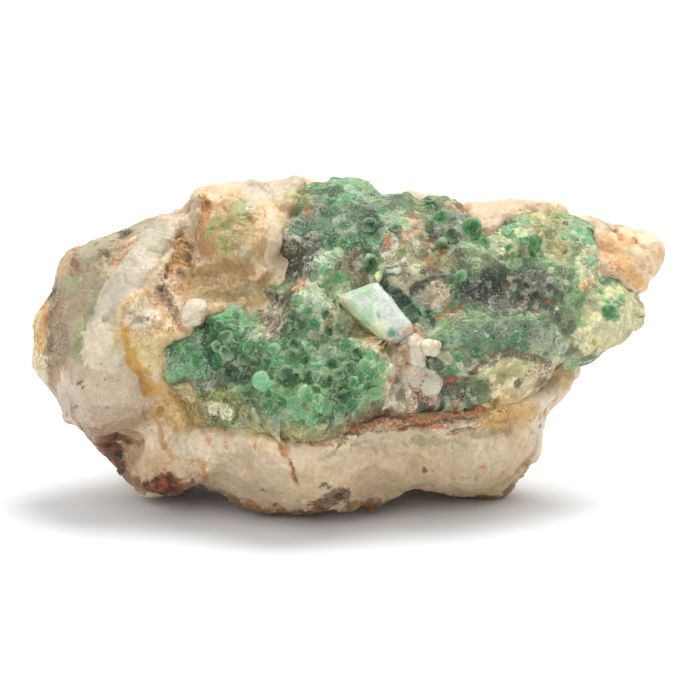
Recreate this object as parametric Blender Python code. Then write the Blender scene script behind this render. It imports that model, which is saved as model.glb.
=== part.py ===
"""Rough emerald: a lumpy crust of grown-together beryl grains on a broken lump of cream host rock.

The stone is drawn with its best side in the XY plane, in millimetres: X runs along the stone, Y up
its best side, and Z out of it. Two empties then lay it on the table, leaning back by BEST_SIDE_LEAN.
"""

import math

import bmesh
import bpy
import numpy as np
from mathutils import Matrix, Vector, noise
from mathutils.bvhtree import BVHTree

# Driving dimensions
STONE_LENGTH = 0.070
DRAWN_LENGTH = 70.0
UNIT = STONE_LENGTH / DRAWN_LENGTH
BEST_SIDE_LEAN = math.radians(14)
GAP = 0.32
SOCKET_GAP = 0.4

# Outline of the best side, anticlockwise from the right tip
OUTLINE = [
    (35.0, 10.9), (34.5, 11.7), (33.1, 12.3), (31.4, 13.2), (29.5, 13.4), (26.9, 13.7), (25.8, 14.8),
    (24.5, 15.5), (22.1, 16.0), (20.1, 16.5), (17.6, 16.4), (14.5, 15.9), (12.6, 15.5), (11.4, 16.3),
    (10.1, 17.0), (7.9, 17.2), (5.7, 17.0), (4.0, 17.3), (2.2, 17.6), (1.5, 18.3), (0.4, 19.0),
    (-2.0, 19.0), (-5.4, 18.5), (-7.0, 18.2), (-8.7, 18.5), (-12.0, 18.4), (-15.1, 18.2),
    (-17.0, 17.5), (-18.6, 16.2), (-20.3, 15.0), (-23.6, 13.9), (-25.5, 13.2), (-26.9, 12.2),
    (-30.3, 11.2), (-31.9, 10.2), (-33.0, 8.1), (-33.6, 5.7), (-34.6, 3.2), (-35.0, 1.5),
    (-34.8, -0.2), (-33.9, -2.4), (-33.0, -4.9), (-31.7, -7.4), (-30.3, -9.0), (-28.6, -10.0),
    (-27.7, -11.0), (-26.8, -12.7), (-25.5, -14.2), (-23.9, -15.3), (-22.2, -15.8), (-20.5, -16.3),
    (-19.0, -16.1), (-17.5, -15.4), (-15.9, -15.7), (-13.7, -16.3), (-12.0, -17.3), (-9.8, -18.0),
    (-7.0, -18.6), (-5.4, -18.7), (-3.7, -18.1), (-1.5, -17.1), (1.3, -16.8), (3.5, -17.0),
    (4.6, -16.8), (5.9, -15.9), (7.9, -15.9), (10.1, -16.4), (15.1, -16.6), (16.8, -16.4),
    (18.4, -14.9), (19.9, -13.4), (20.7, -11.8), (21.7, -10.1), (22.5, -8.5), (22.6, -6.8),
    (23.3, -5.0), (24.2, -3.6), (26.5, -1.8), (27.8, -0.6), (31.1, 1.3), (32.8, 2.6), (33.1, 3.9),
    (32.2, 5.7), (32.6, 7.0), (33.3, 8.4), (34.5, 9.7),
]

# Depth of the stone in front of its rim and behind it, at stations along X
STATIONS = [-35.0, -28.0, -18.0, -4.0, 10.0, 20.0, 28.0, 35.0]
FRONT_DEPTH = [6.0, 10.5, 12.0, 13.5, 13.0, 11.0, 7.5, 3.0]
BACK_DEPTH = [7.0, 12.0, 16.0, 20.0, 18.5, 14.0, 8.5, 3.0]
FRONT_SQUARENESS = 3.2
BACK_SQUARENESS = 2.8
# The rim leans back above the middle. Below it, the rim's depth is given at these stations
RIM_LEAN = -0.35
LOW_STATIONS = [-35.0, -28.0, -20.0, -13.0, -7.0, -1.0, 6.0, 14.0, 22.0, 35.0]
LOW_RIM_DEPTH = [-2.0, -3.0, -3.5, 1.5, 5.0, 3.5, 0.0, -3.0, -3.5, -5.0]
LOW_RIM = 16.5

# Flat breaks across the rock: outward normal, and distance of the break from the drawing's origin
BREAKS = [
    ((0.10, 0.25, -0.95), 16.6),
    ((-0.55, 0.10, -0.80), 23.0),
    ((0.62, -0.10, -0.78), 20.5),
    ((0.05, 0.80, -0.60), 18.8),
    ((-0.45, 0.72, -0.30), 24.5),
    ((0.80, -0.45, -0.40), 25.0),
    ((-0.75, -0.45, -0.50), 27.5),
    ((-0.34, 0.26, 0.90), 18.6),
    ((0.10, -0.42, 0.90), 16.6),
    ((0.72, -0.28, 0.62), 23.0),
]
BREAK_FLATNESS = 0.9

# Mounds and hollows of the rock: centre, half-length, half-width, turn in degrees, rise, flatness
ROCK_FORMS = {
    "left block": ((-27.0, 2.5), 8.0, 12.0, -18, 1.6, 5),
    "left lobe": ((-26.6, -5.4), 8.5, 5.6, 8, 2.2, 3),
    "pale ledge": ((-23.2, 5.6), 11.0, 2.3, 65, 1.2, 4),
    "stained groove": ((-17.8, 10.6), 5.5, 1.3, 80, -1.7, 2),
    "groove under the ear": ((-19.8, 5.4), 3.4, 1.3, 55, -1.2, 2),
    "yellow block": ((-12.0, 13.2), 5.2, 4.5, -4, 2.3, 8),
    "brown recess": ((-13.8, 6.4), 5.0, 2.4, 0, -1.4, 3),
    "white nub": ((-16.6, 3.9), 1.7, 1.4, 80, 1.6, 3),
    "ear": ((-22.2, 2.6), 2.7, 2.2, 60, 1.5, 3),
    "sill": ((-20.9, -4.0), 4.6, 1.5, 100, -0.9, 2),
    "hollow below the lobe": ((-24.8, -11.6), 3.4, 2.3, 60, -3.4, 2),
    "foot knob": ((-20.2, -14.6), 3.4, 2.0, 5, 1.8, 3),
    "left of the base": ((-17.0, -11.6), 5.5, 3.0, 20, 1.3, 3),
    "belly of the base": ((-4.0, -13.2), 12.0, 4.0, -6, 1.6, 3),
    "right of the base": ((12.0, -12.0), 9.0, 4.2, 4, 1.5, 3),
    "dent in the base": ((2.4, -14.6), 2.6, 2.2, 30, -1.2, 2),
    "right flank": ((20.6, -8.6), 3.4, 5.0, 15, 0.9, 3),
    "top notch": ((-19.0, 15.2), 2.0, 1.6, 40, -1.2, 2),
    "top slab": ((-7.0, 17.0), 4.4, 2.0, 0, 1.0, 4),
    "saddle by the tip": ((28.6, 10.6), 2.2, 3.6, 0, -0.9, 2),
    "tip": ((32.0, 10.0), 2.8, 3.2, 20, 1.4, 3),
}

# Roughness of broken rock: size of its waves and how far they stand out
ROCK_WAVES = [(9.0, 0.75), (3.6, 0.34), (1.7, 0.13)]
CRUST_WAVES = [(3.0, 0.30), (1.5, 0.20)]

# Edge of the crust over the best side, anticlockwise from the upper left. Points beyond the
# stone's outline carry the crust over the rim and down the back.
CRUST_EDGE = [
    (-5.4, 19.2), (-5.7, 18.0), (-6.0, 16.4), (-7.0, 14.8), (-8.2, 12.9), (-8.9, 10.9), (-9.6, 8.5),
    (-10.7, 6.2), (-12.0, 4.9), (-14.0, 4.6), (-15.3, 3.4), (-17.3, 2.0), (-19.5, 1.2),
    (-20.5, -0.7), (-20.6, -3.3), (-20.0, -5.7), (-18.4, -7.2), (-17.5, -9.0), (-15.9, -9.8),
    (-12.6, -9.3), (-9.6, -9.6), (-6.5, -10.3), (-4.0, -10.7), (-1.5, -10.2), (1.3, -9.1),
    (4.0, -8.4), (10.1, -7.9), (13.2, -7.5), (15.9, -6.7), (18.4, -6.0), (20.6, -5.1),
    (22.8, -3.9), (25.1, -3.6), (26.9, -2.7), (30.8, -0.4), (34.2, 1.7), (34.7, 4.2), (33.1, 6.2),
    (30.9, 6.8), (29.3, 8.1), (28.4, 10.0), (27.9, 12.0), (27.6, 14.0), (25.8, 15.5), (23.9, 16.3),
    (22.2, 16.6), (21.7, 15.6), (19.9, 15.3), (18.2, 14.9), (16.8, 13.9), (15.5, 12.7),
    (14.6, 14.0), (13.6, 15.0), (13.3, 16.1), (11.2, 17.0), (8.5, 17.9), (5.7, 17.7), (2.9, 18.5),
    (0.8, 19.8), (-2.0, 19.8),
]
BED_DEPTH = 1.5
BED_SLOPE = 1.8
LIP_WIDTH = 1.5
LIP_SINK = 1.3
LEAST_SINK = 0.75
ROOT_DEPTH = 0.22
ROOT_SLOPE = 2.5

# Lobes of the crust: centre, half-length, half-width, turn in degrees, rise above the bed's rim
CRUST_LOBES = {
    "left end": ((-17.3, -1.1), 3.6, 3.5, 0, 1.7),
    "left middle": ((-11.4, -0.2), 3.6, 3.2, 0, 2.1),
    "yellow foot": ((-12.9, -5.6), 5.2, 3.4, 0, 1.6),
    "small head": ((-12.9, 2.8), 2.5, 2.2, 0, 2.0),
    "lowest lobe": ((-5.2, -6.0), 6.2, 4.6, -8, 3.6),
    "dark-grained lobe": ((0.9, -2.8), 4.7, 4.5, 20, 3.3),
    "grain field": ((-6.0, -1.0), 4.6, 3.1, -8, 2.7),
    "ridge": ((-4.3, 2.9), 3.4, 4.8, -20, 3.3),
    "ridge top": ((-3.4, 7.8), 2.5, 2.7, 0, 2.1),
    "crown": ((-0.9, 15.6), 5.0, 3.8, 5, 2.0),
    "below the crown": ((-2.6, 11.6), 4.4, 3.4, 0, 1.5),
    "brow": ((4.4, 12.6), 5.4, 4.4, -10, 2.2),
    "upper knob": ((9.2, 15.0), 3.6, 2.6, 0, 2.0),
    "behind the pale crystal": ((5.2, 8.3), 3.3, 2.7, 0, 1.2),
    "upper gully bank": ((11.8, 12.2), 3.0, 3.2, 0, 1.6),
    "right crown": ((19.2, 12.7), 6.0, 3.0, -6, 1.9),
    "right shoulder": ((25.2, 11.4), 3.4, 4.2, 10, 1.9),
    "gully": ((14.6, 9.0), 3.4, 2.6, 0, 1.3),
    "right cheek": ((23.6, 6.2), 4.2, 4.2, 0, 1.6),
    "yellow-green lobe": ((29.4, 3.5), 4.4, 4.0, -15, 2.2),
    "below the lobe": ((26.0, 0.2), 4.2, 2.8, 15, 1.5),
    "broad lobe": ((13.4, -0.4), 5.0, 3.8, 10, 2.6),
    "broad lobe, right": ((19.2, 0.3), 4.8, 3.6, 0, 2.3),
    "yellow lobe": ((17.8, -4.4), 5.6, 2.8, 14, 2.0),
    "seam lobe": ((10.8, -5.0), 4.2, 2.6, 5, 1.3),
}
CRUST_HOLLOWS = {
    "black pocket": ((-6.9, 8.9), 2.0, 3.2, 0, -1.1),
    "sandy pocket": ((-9.4, 4.4), 1.6, 2.4, 0, -0.8),
    "dark gully": ((17.6, 5.7), 5.2, 1.8, -10, -1.1),
    "pocket by the pale crystal": ((10.0, 4.6), 1.6, 2.6, 20, -1.2),
    "fold under the broad lobe": ((15.6, -2.9), 3.2, 0.8, 30, -0.9),
    "upper gully": ((7.7, 15.6), 0.9, 2.2, 0, -0.9),
}

# The larger beryl crystals: place on the best side, and radius
CRYSTALS = [
    (-13.8, 0.4, 0.95), (-13.0, -0.7, 0.65), (-9.3, -3.6, 1.0), (-7.7, -2.0, 0.95), (-6.0, -2.9, 1.3),
    (-4.4, -2.9, 0.8), (-5.7, 0.2, 0.85), (-4.2, 0.0, 0.85), (0.8, -0.5, 0.9), (0.2, -2.1, 0.95),
    (1.9, -1.8, 0.8), (-1.6, -3.3, 1.1), (1.7, -3.9, 1.2), (-0.3, -5.1, 0.9), (2.7, -5.3, 0.85),
    (-4.4, -4.8, 0.75), (-2.9, -6.4, 0.95), (-11.3, -5.4, 0.75), (-13.3, -2.7, 0.85),
    (2.3, 13.6, 0.85), (10.3, 14.4, 0.85), (13.6, 13.3, 1.0), (11.4, 12.5, 0.85), (10.1, 11.3, 0.8),
    (2.6, 9.3, 0.85), (12.4, 7.8, 0.75), (15.1, 12.0, 0.75), (19.8, 11.7, 0.85), (29.2, 3.9, 0.75),
    (29.8, 3.2, 0.7), (8.9, 16.6, 0.8), (4.8, 1.6, 0.75),
]
CRYSTAL_LENGTH = 2.4
CRYSTAL_STANDS = 0.45
CRYSTAL_TILT = math.radians(38)

# The pale crystal: a skewed block, and the knobs of the same mineral at its lower right
BLOCK_CENTRE = (3.3, 3.3)
BLOCK_SIZE = (5.0, 5.6, 5.6)
BLOCK_SKEW = -0.30
BLOCK_TURNS = (math.radians(-24), math.radians(16), math.radians(17))
BLOCK_BEVEL = 0.45
BLOCK_STANDS = 1.3
KNOBS = [
    ((6.9, 0.6), (2.2, 1.7, 1.9), 0.5),
    ((8.6, -0.8), (1.7, 2.0, 1.9), 0.6),
    ((9.8, -0.2), (1.0, 0.9, 1.0), 0.8),
    ((8.0, -3.3), (2.0, 1.9, 1.8), 0.3),
    ((9.7, -4.0), (1.4, 1.6, 1.5), 0.4),
]
KNOB_ROUGHNESS = 0.22

# Underside: the table's height below the drawing's origin, and where the stone touches it
TABLE = -16.9
UNDERSIDE_LIFT = 1.0
UNDERSIDE_WAVE = 0.7
FOOT_SINK = 0.5
FEET = [(-6.2, -8.0, 6.5), (13.8, 1.0, 7.0), (-18.6, 2.4, 6.5), (2.0, 11.0, 7.0)]

# Fineness of the meshes
SPHERE_DIVISIONS = 7
SKIN_SIZE = 0.4
ROCK_SHARE = 0.030
CRUST_SHARE = 0.052


def smoothstep(x):
    """0 below 0, 1 above 1, and an even S between."""
    x = np.clip(x, 0.0, 1.0)
    return x * x * (3.0 - 2.0 * x)


def mound(u, v, centre, half_length, half_width, turn):
    """Squared distance from an oval's centre, where 1 is the oval's edge."""
    angle = math.radians(turn)
    along = (u - centre[0]) * math.cos(angle) + (v - centre[1]) * math.sin(angle)
    across = (v - centre[1]) * math.cos(angle) - (u - centre[0]) * math.sin(angle)
    return (along / half_length) ** 2 + (across / half_width) ** 2


def waves(points, sizes, seed):
    """Rough waves of a few sizes at each point, as a distance out of the surface."""
    shift = Vector((seed, 0.37 * seed, -0.71 * seed))
    total = np.zeros(len(points))
    for size, height in sizes:
        total += [height * noise.noise(Vector(p) / size + shift) for p in points]
    return total


def distance_inside(u, v, edge):
    """How far each place lies inside a closed line of points; outside it is negative."""
    nearest = np.full(len(u), np.inf)
    inside = np.zeros(len(u), bool)
    for (x0, y0), (x1, y1) in zip(edge, edge[1:] + edge[:1]):
        side_x, side_y = x1 - x0, y1 - y0
        share = ((u - x0) * side_x + (v - y0) * side_y) / (side_x**2 + side_y**2)
        share = np.clip(share, 0.0, 1.0)
        nearest = np.minimum(nearest, np.hypot(u - x0 - share * side_x, v - y0 - share * side_y))
        crosses = (y0 > v) != (y1 > v)
        if side_y:
            inside ^= crosses & (u < x0 + (v - y0) * side_x / side_y)
    return np.where(inside, nearest, -nearest)


def envelope(directions):
    """Points of the stone's plain envelope in each direction, and their places on the best side.

    Directions behind the rim get places outside the outline, as if the back were folded out.
    """
    along, up, out = directions.T
    turn = np.arctan2(up, along)
    rim = np.minimum(np.hypot(along, up), 1.0)
    corners = np.array(OUTLINE)
    corner_turns = np.arctan2(corners[:, 1], corners[:, 0])
    radius = np.interp(turn, corner_turns, np.hypot(*corners.T), period=2 * math.pi)
    u, v = rim * radius * np.cos(turn), rim * radius * np.sin(turn)
    front = np.interp(u, STATIONS, FRONT_DEPTH) * np.sqrt(1 - rim**FRONT_SQUARENESS)
    back = np.interp(u, STATIONS, BACK_DEPTH) * np.sqrt(1 - rim**BACK_SQUARENESS)
    low_rim = np.interp(u, LOW_STATIONS, LOW_RIM_DEPTH) * -v / LOW_RIM
    w = np.where(out >= 0, front, -back) + np.where(v > 0, RIM_LEAN * v, low_rim)
    points = np.stack([u, v, w], axis=1)
    for normal, distance in BREAKS:
        normal = np.array(normal) / np.linalg.norm(normal)
        beyond = np.maximum(points @ normal - distance, 0.0)
        points -= BREAK_FLATNESS * beyond[:, None] * normal
    reach = np.where(out >= 0, rim, 2 - rim) * radius
    return points, reach * np.cos(turn), reach * np.sin(turn)


def table_height(points):
    """Height of drawn points above the drawing's origin once the stone leans back."""
    return points[:, 1] * math.cos(BEST_SIDE_LEAN) + points[:, 2] * math.sin(BEST_SIDE_LEAN)


def raise_underside(points):
    """Lifts what would be under the table to a rough underside that comes down at the feet."""
    lean = BEST_SIDE_LEAN
    height = table_height(points)
    x, y = points[:, 0], points[:, 1] * math.sin(lean) - points[:, 2] * math.cos(lean)
    plan = np.stack([x, y, np.zeros(len(x))], axis=1)
    lowest = TABLE + UNDERSIDE_LIFT + waves(plan, [(7.0, UNDERSIDE_WAVE)], 5.0)
    for foot_x, foot_y, radius in FEET:
        near = smoothstep(1.3 * (1 - np.hypot(x - foot_x, y - foot_y) / radius))
        lowest += near * (TABLE - FOOT_SINK - lowest)
    lift = np.maximum(lowest - height, 0.0)
    points[:, 1] += lift * math.cos(lean)
    points[:, 2] += lift * math.sin(lean)


def set_points(bm, points):
    """Moves each vertex to its drawn point, in metres."""
    for vert, point in zip(bm.verts, points):
        vert.co = Vector(point) * UNIT
    bm.normal_update()


def stone_sphere():
    """A fine sphere shaped to the envelope: its bmesh, drawn points, normals and places."""
    bm = bmesh.new()
    bmesh.ops.create_icosphere(bm, subdivisions=SPHERE_DIVISIONS, radius=1.0)
    directions = np.array([vert.co.normalized() for vert in bm.verts])
    points, u, v = envelope(directions)
    set_points(bm, points)
    normals = np.array([vert.normal for vert in bm.verts])
    return bm, points, normals, u, v


def crust_bed(u, v):
    """0 where the rock is bare and 1 where it lies well under the crust."""
    return smoothstep(distance_inside(u, v, CRUST_EDGE) / BED_SLOPE)


def add_node(name, bm, colour, roughness, parent):
    """A named object from a bmesh, with its own material."""
    mesh = bpy.data.meshes.new(name)
    bm.to_mesh(mesh)
    bm.free()
    node = bpy.data.objects.new(name, mesh)
    bpy.context.scene.collection.objects.link(node)
    node.parent = parent
    material = bpy.data.materials.new(name)
    material.use_nodes = True
    shader = material.node_tree.nodes["Principled BSDF"]
    shader.inputs["Base Color"].default_value = (*colour, 1.0)
    shader.inputs["Roughness"].default_value = roughness
    shader.inputs["Metallic"].default_value = 0.0
    mesh.materials.append(material)
    return node


def as_helper(node):
    """A cutter: kept out of renders and shown as wire."""
    node.hide_render = True
    node.display_type = "WIRE"
    return node


def thin_out(node, share):
    """Rebuilds the skin evenly, free of folds, then merges its triangles to a share of them."""
    even = node.modifiers.new("even_skin", "REMESH")
    even.mode = "VOXEL"
    even.voxel_size = SKIN_SIZE * UNIT
    thin = node.modifiers.new("thin_out", "DECIMATE")
    thin.ratio = share


def combine(node, other, operation, name):
    """A Boolean of node with other."""
    modifier = node.modifiers.new(name, "BOOLEAN")
    modifier.operation = operation
    modifier.object = other
    modifier.solver = "EXACT"
    modifier.use_self = True


def grown(node, name):
    """A copy of a node, a gap larger all round, to cut its neighbours with."""
    copy = as_helper(node.copy())
    copy.name = name
    bpy.context.scene.collection.objects.link(copy)
    modifier = copy.modifiers.new("grow", "DISPLACE")
    modifier.strength = GAP * UNIT
    modifier.mid_level = 0.0
    return copy


def make_rock(parent, table):
    """The host rock: the envelope with its breaks, mounds and hollows, sunk under the crust."""
    bm, points, normals, u, v = stone_sphere()
    bed = crust_bed(u, v)
    front = smoothstep(normals[:, 2] / 0.5 + 0.6)
    rise = np.zeros(len(u))
    for centre, half_length, half_width, turn, height, flatness in ROCK_FORMS.values():
        ring = mound(u, v, centre, half_length, half_width, turn)
        rise += height * np.clip(1 - ring ** (flatness / 2), 0.0, 1.0) * front * (1 - bed)
    rise += waves(points, ROCK_WAVES, 1.0) * (1 - 0.8 * bed)
    points = points + normals * (rise - BED_DEPTH * bed)[:, None]
    raise_underside(points)
    set_points(bm, points)
    rock = add_node("host_rock", bm, (0.60, 0.50, 0.37), 0.6, parent)
    thin_out(rock, ROCK_SHARE)
    combine(rock, table, "DIFFERENCE", "stand_on_table")
    return rock


def make_crust_body():
    """The crust before it is fitted to the rock: overlapping lobes over the best side and rim.

    It thins out to a rounded lip at the crust's edge, and runs on inside the rock from there.
    """
    bm, points, normals, u, v = stone_sphere()
    inside = distance_inside(u, v, CRUST_EDGE)
    lobes = np.full(len(u), -0.25)
    for centre, half_length, half_width, turn, height in CRUST_LOBES.values():
        ring = mound(u, v, centre, half_length, half_width, turn)
        lobes = np.maximum(lobes, height * np.sqrt(np.clip(1 - ring, 0.0, 1.0)))
    for centre, half_length, half_width, turn, height in CRUST_HOLLOWS.values():
        ring = mound(u, v, centre, half_length, half_width, turn)
        lobes += height * smoothstep(1.4 * (1 - ring))
    lip = np.sqrt(np.clip(inside / LIP_WIDTH, 0.0, 1.0))
    lobes = np.maximum(lobes + waves(points, CRUST_WAVES, 9.0), -LEAST_SINK)
    rise = lobes * smoothstep(inside / LIP_WIDTH) - LIP_SINK * (1 - lip)
    raise_underside(points)
    points += normals * rise[:, None]
    points *= 1 - ROOT_DEPTH * smoothstep(-inside / ROOT_SLOPE)[:, None]
    set_points(bm, points)
    return bm


def keep_largest_sheet(bm):
    """Deletes the small islands of faces, so that one sheet is left."""
    left, sheets = set(bm.faces), []
    while left:
        sheet, front = set(), [left.pop()]
        while front:
            face = front.pop()
            sheet.add(face)
            near = {other for edge in face.edges for other in edge.link_faces} & left
            left -= near
            front += near
        sheets.append(sheet)
    largest = max(sheets, key=len)
    bmesh.ops.delete(bm, geom=[f for f in bm.faces if f not in largest], context="FACES")


def surface_at(tree, u, v):
    """The outermost point and its normal at a place on the best side."""
    start = Vector((u, v, DRAWN_LENGTH)) * UNIT
    point, normal, _, _ = tree.ray_cast(start, Vector((0, 0, -1)))
    return point, normal


def tilted(normal, index, most):
    """A turn that points +Z near a normal, leaning off it a different way for each index."""
    lean = noise.random_vector() * math.sin(most)
    turn = (normal + lean).to_track_quat("Z", "Y").to_matrix().to_4x4()
    return turn @ Matrix.Rotation(0.9 * index, 4, "Z")


def make_crystals(tree):
    """The larger beryl crystals: six-sided prisms with narrowed ends, half sunk in the crust."""
    bm = bmesh.new()
    noise.seed_set(11)
    for index, (u, v, radius) in enumerate(CRYSTALS):
        point, normal = surface_at(tree, u, v)
        length = CRYSTAL_LENGTH * radius
        place = point + normal * (CRYSTAL_STANDS - length / radius / 2) * radius * UNIT
        turn = Matrix.Translation(place) @ tilted(normal, index, CRYSTAL_TILT)
        prism = bmesh.ops.create_cone(
            bm, cap_ends=True, segments=6, radius1=radius * UNIT, radius2=radius * UNIT,
            depth=length * UNIT, matrix=turn,
        )
        top = max(
            {face for vert in prism["verts"] for face in vert.link_faces if len(face.verts) == 6},
            key=lambda face: (face.calc_center_median() - point).dot(normal),
        )
        bmesh.ops.inset_region(bm, faces=[top], thickness=0.22 * radius * UNIT, depth=0)
        bmesh.ops.translate(bm, verts=top.verts, vec=turn.to_3x3() @ Vector((0, 0, 0.14 * radius * UNIT)))
    return bm


def make_pale_block(tree, spread):
    """The skewed pale block, its edges softened, leaning out of the crust."""
    bm = bmesh.new()
    bmesh.ops.create_cube(bm, size=UNIT)
    size = [side + 2 * spread for side in BLOCK_SIZE]
    bmesh.ops.scale(bm, vec=size, verts=bm.verts)
    skew = Matrix.Shear("XZ", 3, (BLOCK_SKEW, 0.0))
    bmesh.ops.transform(bm, matrix=skew.to_4x4(), verts=bm.verts)
    bmesh.ops.bevel(
        bm, geom=bm.edges, offset=BLOCK_BEVEL * UNIT, segments=1, profile=0.5, affect="EDGES",
        material=-1,
    )
    point, _ = surface_at(tree, *BLOCK_CENTRE)
    for angle, axis in zip(BLOCK_TURNS, "XYZ"):
        bmesh.ops.rotate(bm, matrix=Matrix.Rotation(angle, 3, axis), verts=bm.verts)
    place = point + Vector((0, 0, BLOCK_STANDS - BLOCK_SIZE[2] / 2)) * UNIT
    bmesh.ops.translate(bm, vec=place, verts=bm.verts)
    return bm


def make_knob(tree, place, radii, stands, spread, seed):
    """One rough knob of the pale mineral."""
    bm = bmesh.new()
    bmesh.ops.create_icosphere(bm, subdivisions=2, radius=1.0)
    point, _ = surface_at(tree, *place)
    centre = point + Vector((0, 0, stands - radii[2])) * UNIT
    for vert in bm.verts:
        swell = 1 + KNOB_ROUGHNESS * noise.noise(vert.co * 1.6 + Vector((seed, 0, 0)))
        reach = [side * swell + spread for side in radii]
        vert.co = centre + Vector(c * r for c, r in zip(vert.co, reach)) * UNIT
    return bm


def add_pale_crystal(name, tree, spread, parent):
    """The pale crystal with its knobs, or a wider copy of it to cut its socket with."""
    pale = add_node(name, make_pale_block(tree, spread), (0.66, 0.71, 0.60), 0.35, parent)
    for index, (place, radii, stands) in enumerate(KNOBS):
        knob_mesh = make_knob(tree, place, radii, stands, spread, 3.0 + index)
        knob = add_node(f"{name}_knob_{index}", knob_mesh, (0.66, 0.60, 0.48), 0.5, parent)
        combine(pale, as_helper(knob), "UNION", f"join_knob_{index}")
    return pale


def make_table():
    """A block under the stone, which cuts its feet flat."""
    bm = bmesh.new()
    bmesh.ops.create_cube(bm, size=3 * STONE_LENGTH)
    bmesh.ops.translate(bm, vec=(0, 0, TABLE * UNIT - 1.5 * STONE_LENGTH), verts=bm.verts)
    return bm


def settle(node):
    """Turns a node's modifiers into its mesh, and drops the crumbs that its cuts left loose."""
    graph = bpy.context.evaluated_depsgraph_get()
    bm = bmesh.new()
    bm.from_object(node, graph)
    keep_largest_sheet(bm)
    node.modifiers.clear()
    bm.to_mesh(node.data)
    bm.free()


def bounds_of(nodes):
    """Lowest and highest corner of the nodes as evaluated, in the world."""
    graph = bpy.context.evaluated_depsgraph_get()
    corners = []
    for node in nodes:
        ready = node.evaluated_get(graph)
        corners += [ready.matrix_world @ vert.co for vert in ready.data.vertices]
    return np.min(corners, axis=0), np.max(corners, axis=0)


def add_empty(name, parent):
    """An empty that carries what lies under it."""
    empty = bpy.data.objects.new(name, None)
    bpy.context.scene.collection.objects.link(empty)
    empty.parent = parent
    return empty


def main():
    for old in list(bpy.data.objects):
        bpy.data.objects.remove(old)
    base_point = add_empty("base_point", None)
    best_side = add_empty("best_side", base_point)
    best_side.rotation_euler.x = math.pi / 2 - BEST_SIDE_LEAN

    table = as_helper(add_node("table_cutter", make_table(), (0.5, 0.5, 0.5), 0.5, base_point))
    rock = make_rock(best_side, table)

    body = make_crust_body()
    tree = BVHTree.FromBMesh(body)
    crust = add_node("emerald_crust", body, (0.10, 0.27, 0.15), 0.35, best_side)
    crystals = add_node("crystals", make_crystals(tree), (0.10, 0.27, 0.15), 0.3, best_side)
    as_helper(crystals)

    pale = add_pale_crystal("pale_crystal", tree, 0.0, best_side)
    socket = as_helper(add_pale_crystal("pale_socket", tree, SOCKET_GAP, best_side))
    grown_rock = grown(rock, "grown_rock")
    combine(pale, grown_rock, "DIFFERENCE", "seat_on_rock")
    thin_out(crust, CRUST_SHARE)
    combine(crust, crystals, "UNION", "grow_crystals")
    combine(crust, grown_rock, "DIFFERENCE", "seat_on_rock")
    combine(crust, socket, "DIFFERENCE", "socket_for_pale_crystal")

    bpy.context.view_layer.update()
    settle(crust)
    settle(pale)
    low, high = bounds_of([rock, crust, pale])
    base_point.location = (-(low[0] + high[0]) / 2, -(low[1] + high[1]) / 2, -low[2])


main()
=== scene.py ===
import math

import bmesh
import bpy
import numpy as np
from mathutils import Matrix, Vector, noise
from mathutils.bvhtree import BVHTree
from mathutils.kdtree import KDTree


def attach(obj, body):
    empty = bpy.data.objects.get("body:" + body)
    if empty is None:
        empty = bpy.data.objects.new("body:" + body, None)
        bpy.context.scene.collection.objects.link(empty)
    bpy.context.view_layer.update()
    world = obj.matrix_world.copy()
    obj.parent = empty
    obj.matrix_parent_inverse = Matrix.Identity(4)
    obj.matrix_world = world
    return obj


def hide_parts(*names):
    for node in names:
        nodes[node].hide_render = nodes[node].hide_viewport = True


# Lengths are in millimetres here, and turned into metres where a mesh is written
unit = 0.001

# The best side of the stone is described by pixels of the 700 x 700 photograph
view = {
    "lean": math.radians(14),
    "origin": (0.7692, 0.7176, 16.9),
    "pixel": 0.11,
    "centre": (348, 347),
    "lens": 300.0,
    "sensor": 36.0,
    "image": 700,
}

lean = view["lean"]
acrossAxis = np.array((1.0, 0.0, 0.0))
upAxis = np.array((0.0, math.sin(lean), math.cos(lean)))
outAxis = np.array((0.0, -math.cos(lean), math.sin(lean)))
drawingOrigin = np.array(view["origin"])

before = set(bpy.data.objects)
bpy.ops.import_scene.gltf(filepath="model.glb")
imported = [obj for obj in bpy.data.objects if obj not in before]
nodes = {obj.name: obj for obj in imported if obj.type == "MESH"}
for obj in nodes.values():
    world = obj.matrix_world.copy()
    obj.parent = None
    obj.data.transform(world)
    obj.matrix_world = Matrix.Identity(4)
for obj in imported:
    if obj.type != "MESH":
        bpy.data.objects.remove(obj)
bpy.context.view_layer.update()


def smoothstep(low, high, value):
    share = np.clip((value - low) / (high - low), 0.0, 1.0)
    return share * share * (3.0 - 2.0 * share)


# Dot product of each pair of vectors, which for directions says how far they agree
def dots(first, second):
    return (first * second).sum(axis=1)


# Pixel places of points of the stone, and back
def toPixels(points):
    local = points - drawingOrigin
    across = local @ acrossAxis / view["pixel"] + view["centre"][0]
    down = view["centre"][1] - local @ upAxis / view["pixel"]
    return across, down


def fromPixels(px, py, out):
    across = (px - view["centre"][0]) * view["pixel"]
    up = (view["centre"][1] - py) * view["pixel"]
    return drawingOrigin + across * acrossAxis + up * upAxis + out * outAxis


# Points shifted to the right and down by some pixels, the same for all or one for each
def shifted(points, right, down):
    right, down = (np.broadcast_to(value, len(points))[:, None] for value in (right, down))
    return points + right * view["pixel"] * acrossAxis - down * view["pixel"] * upAxis


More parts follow.
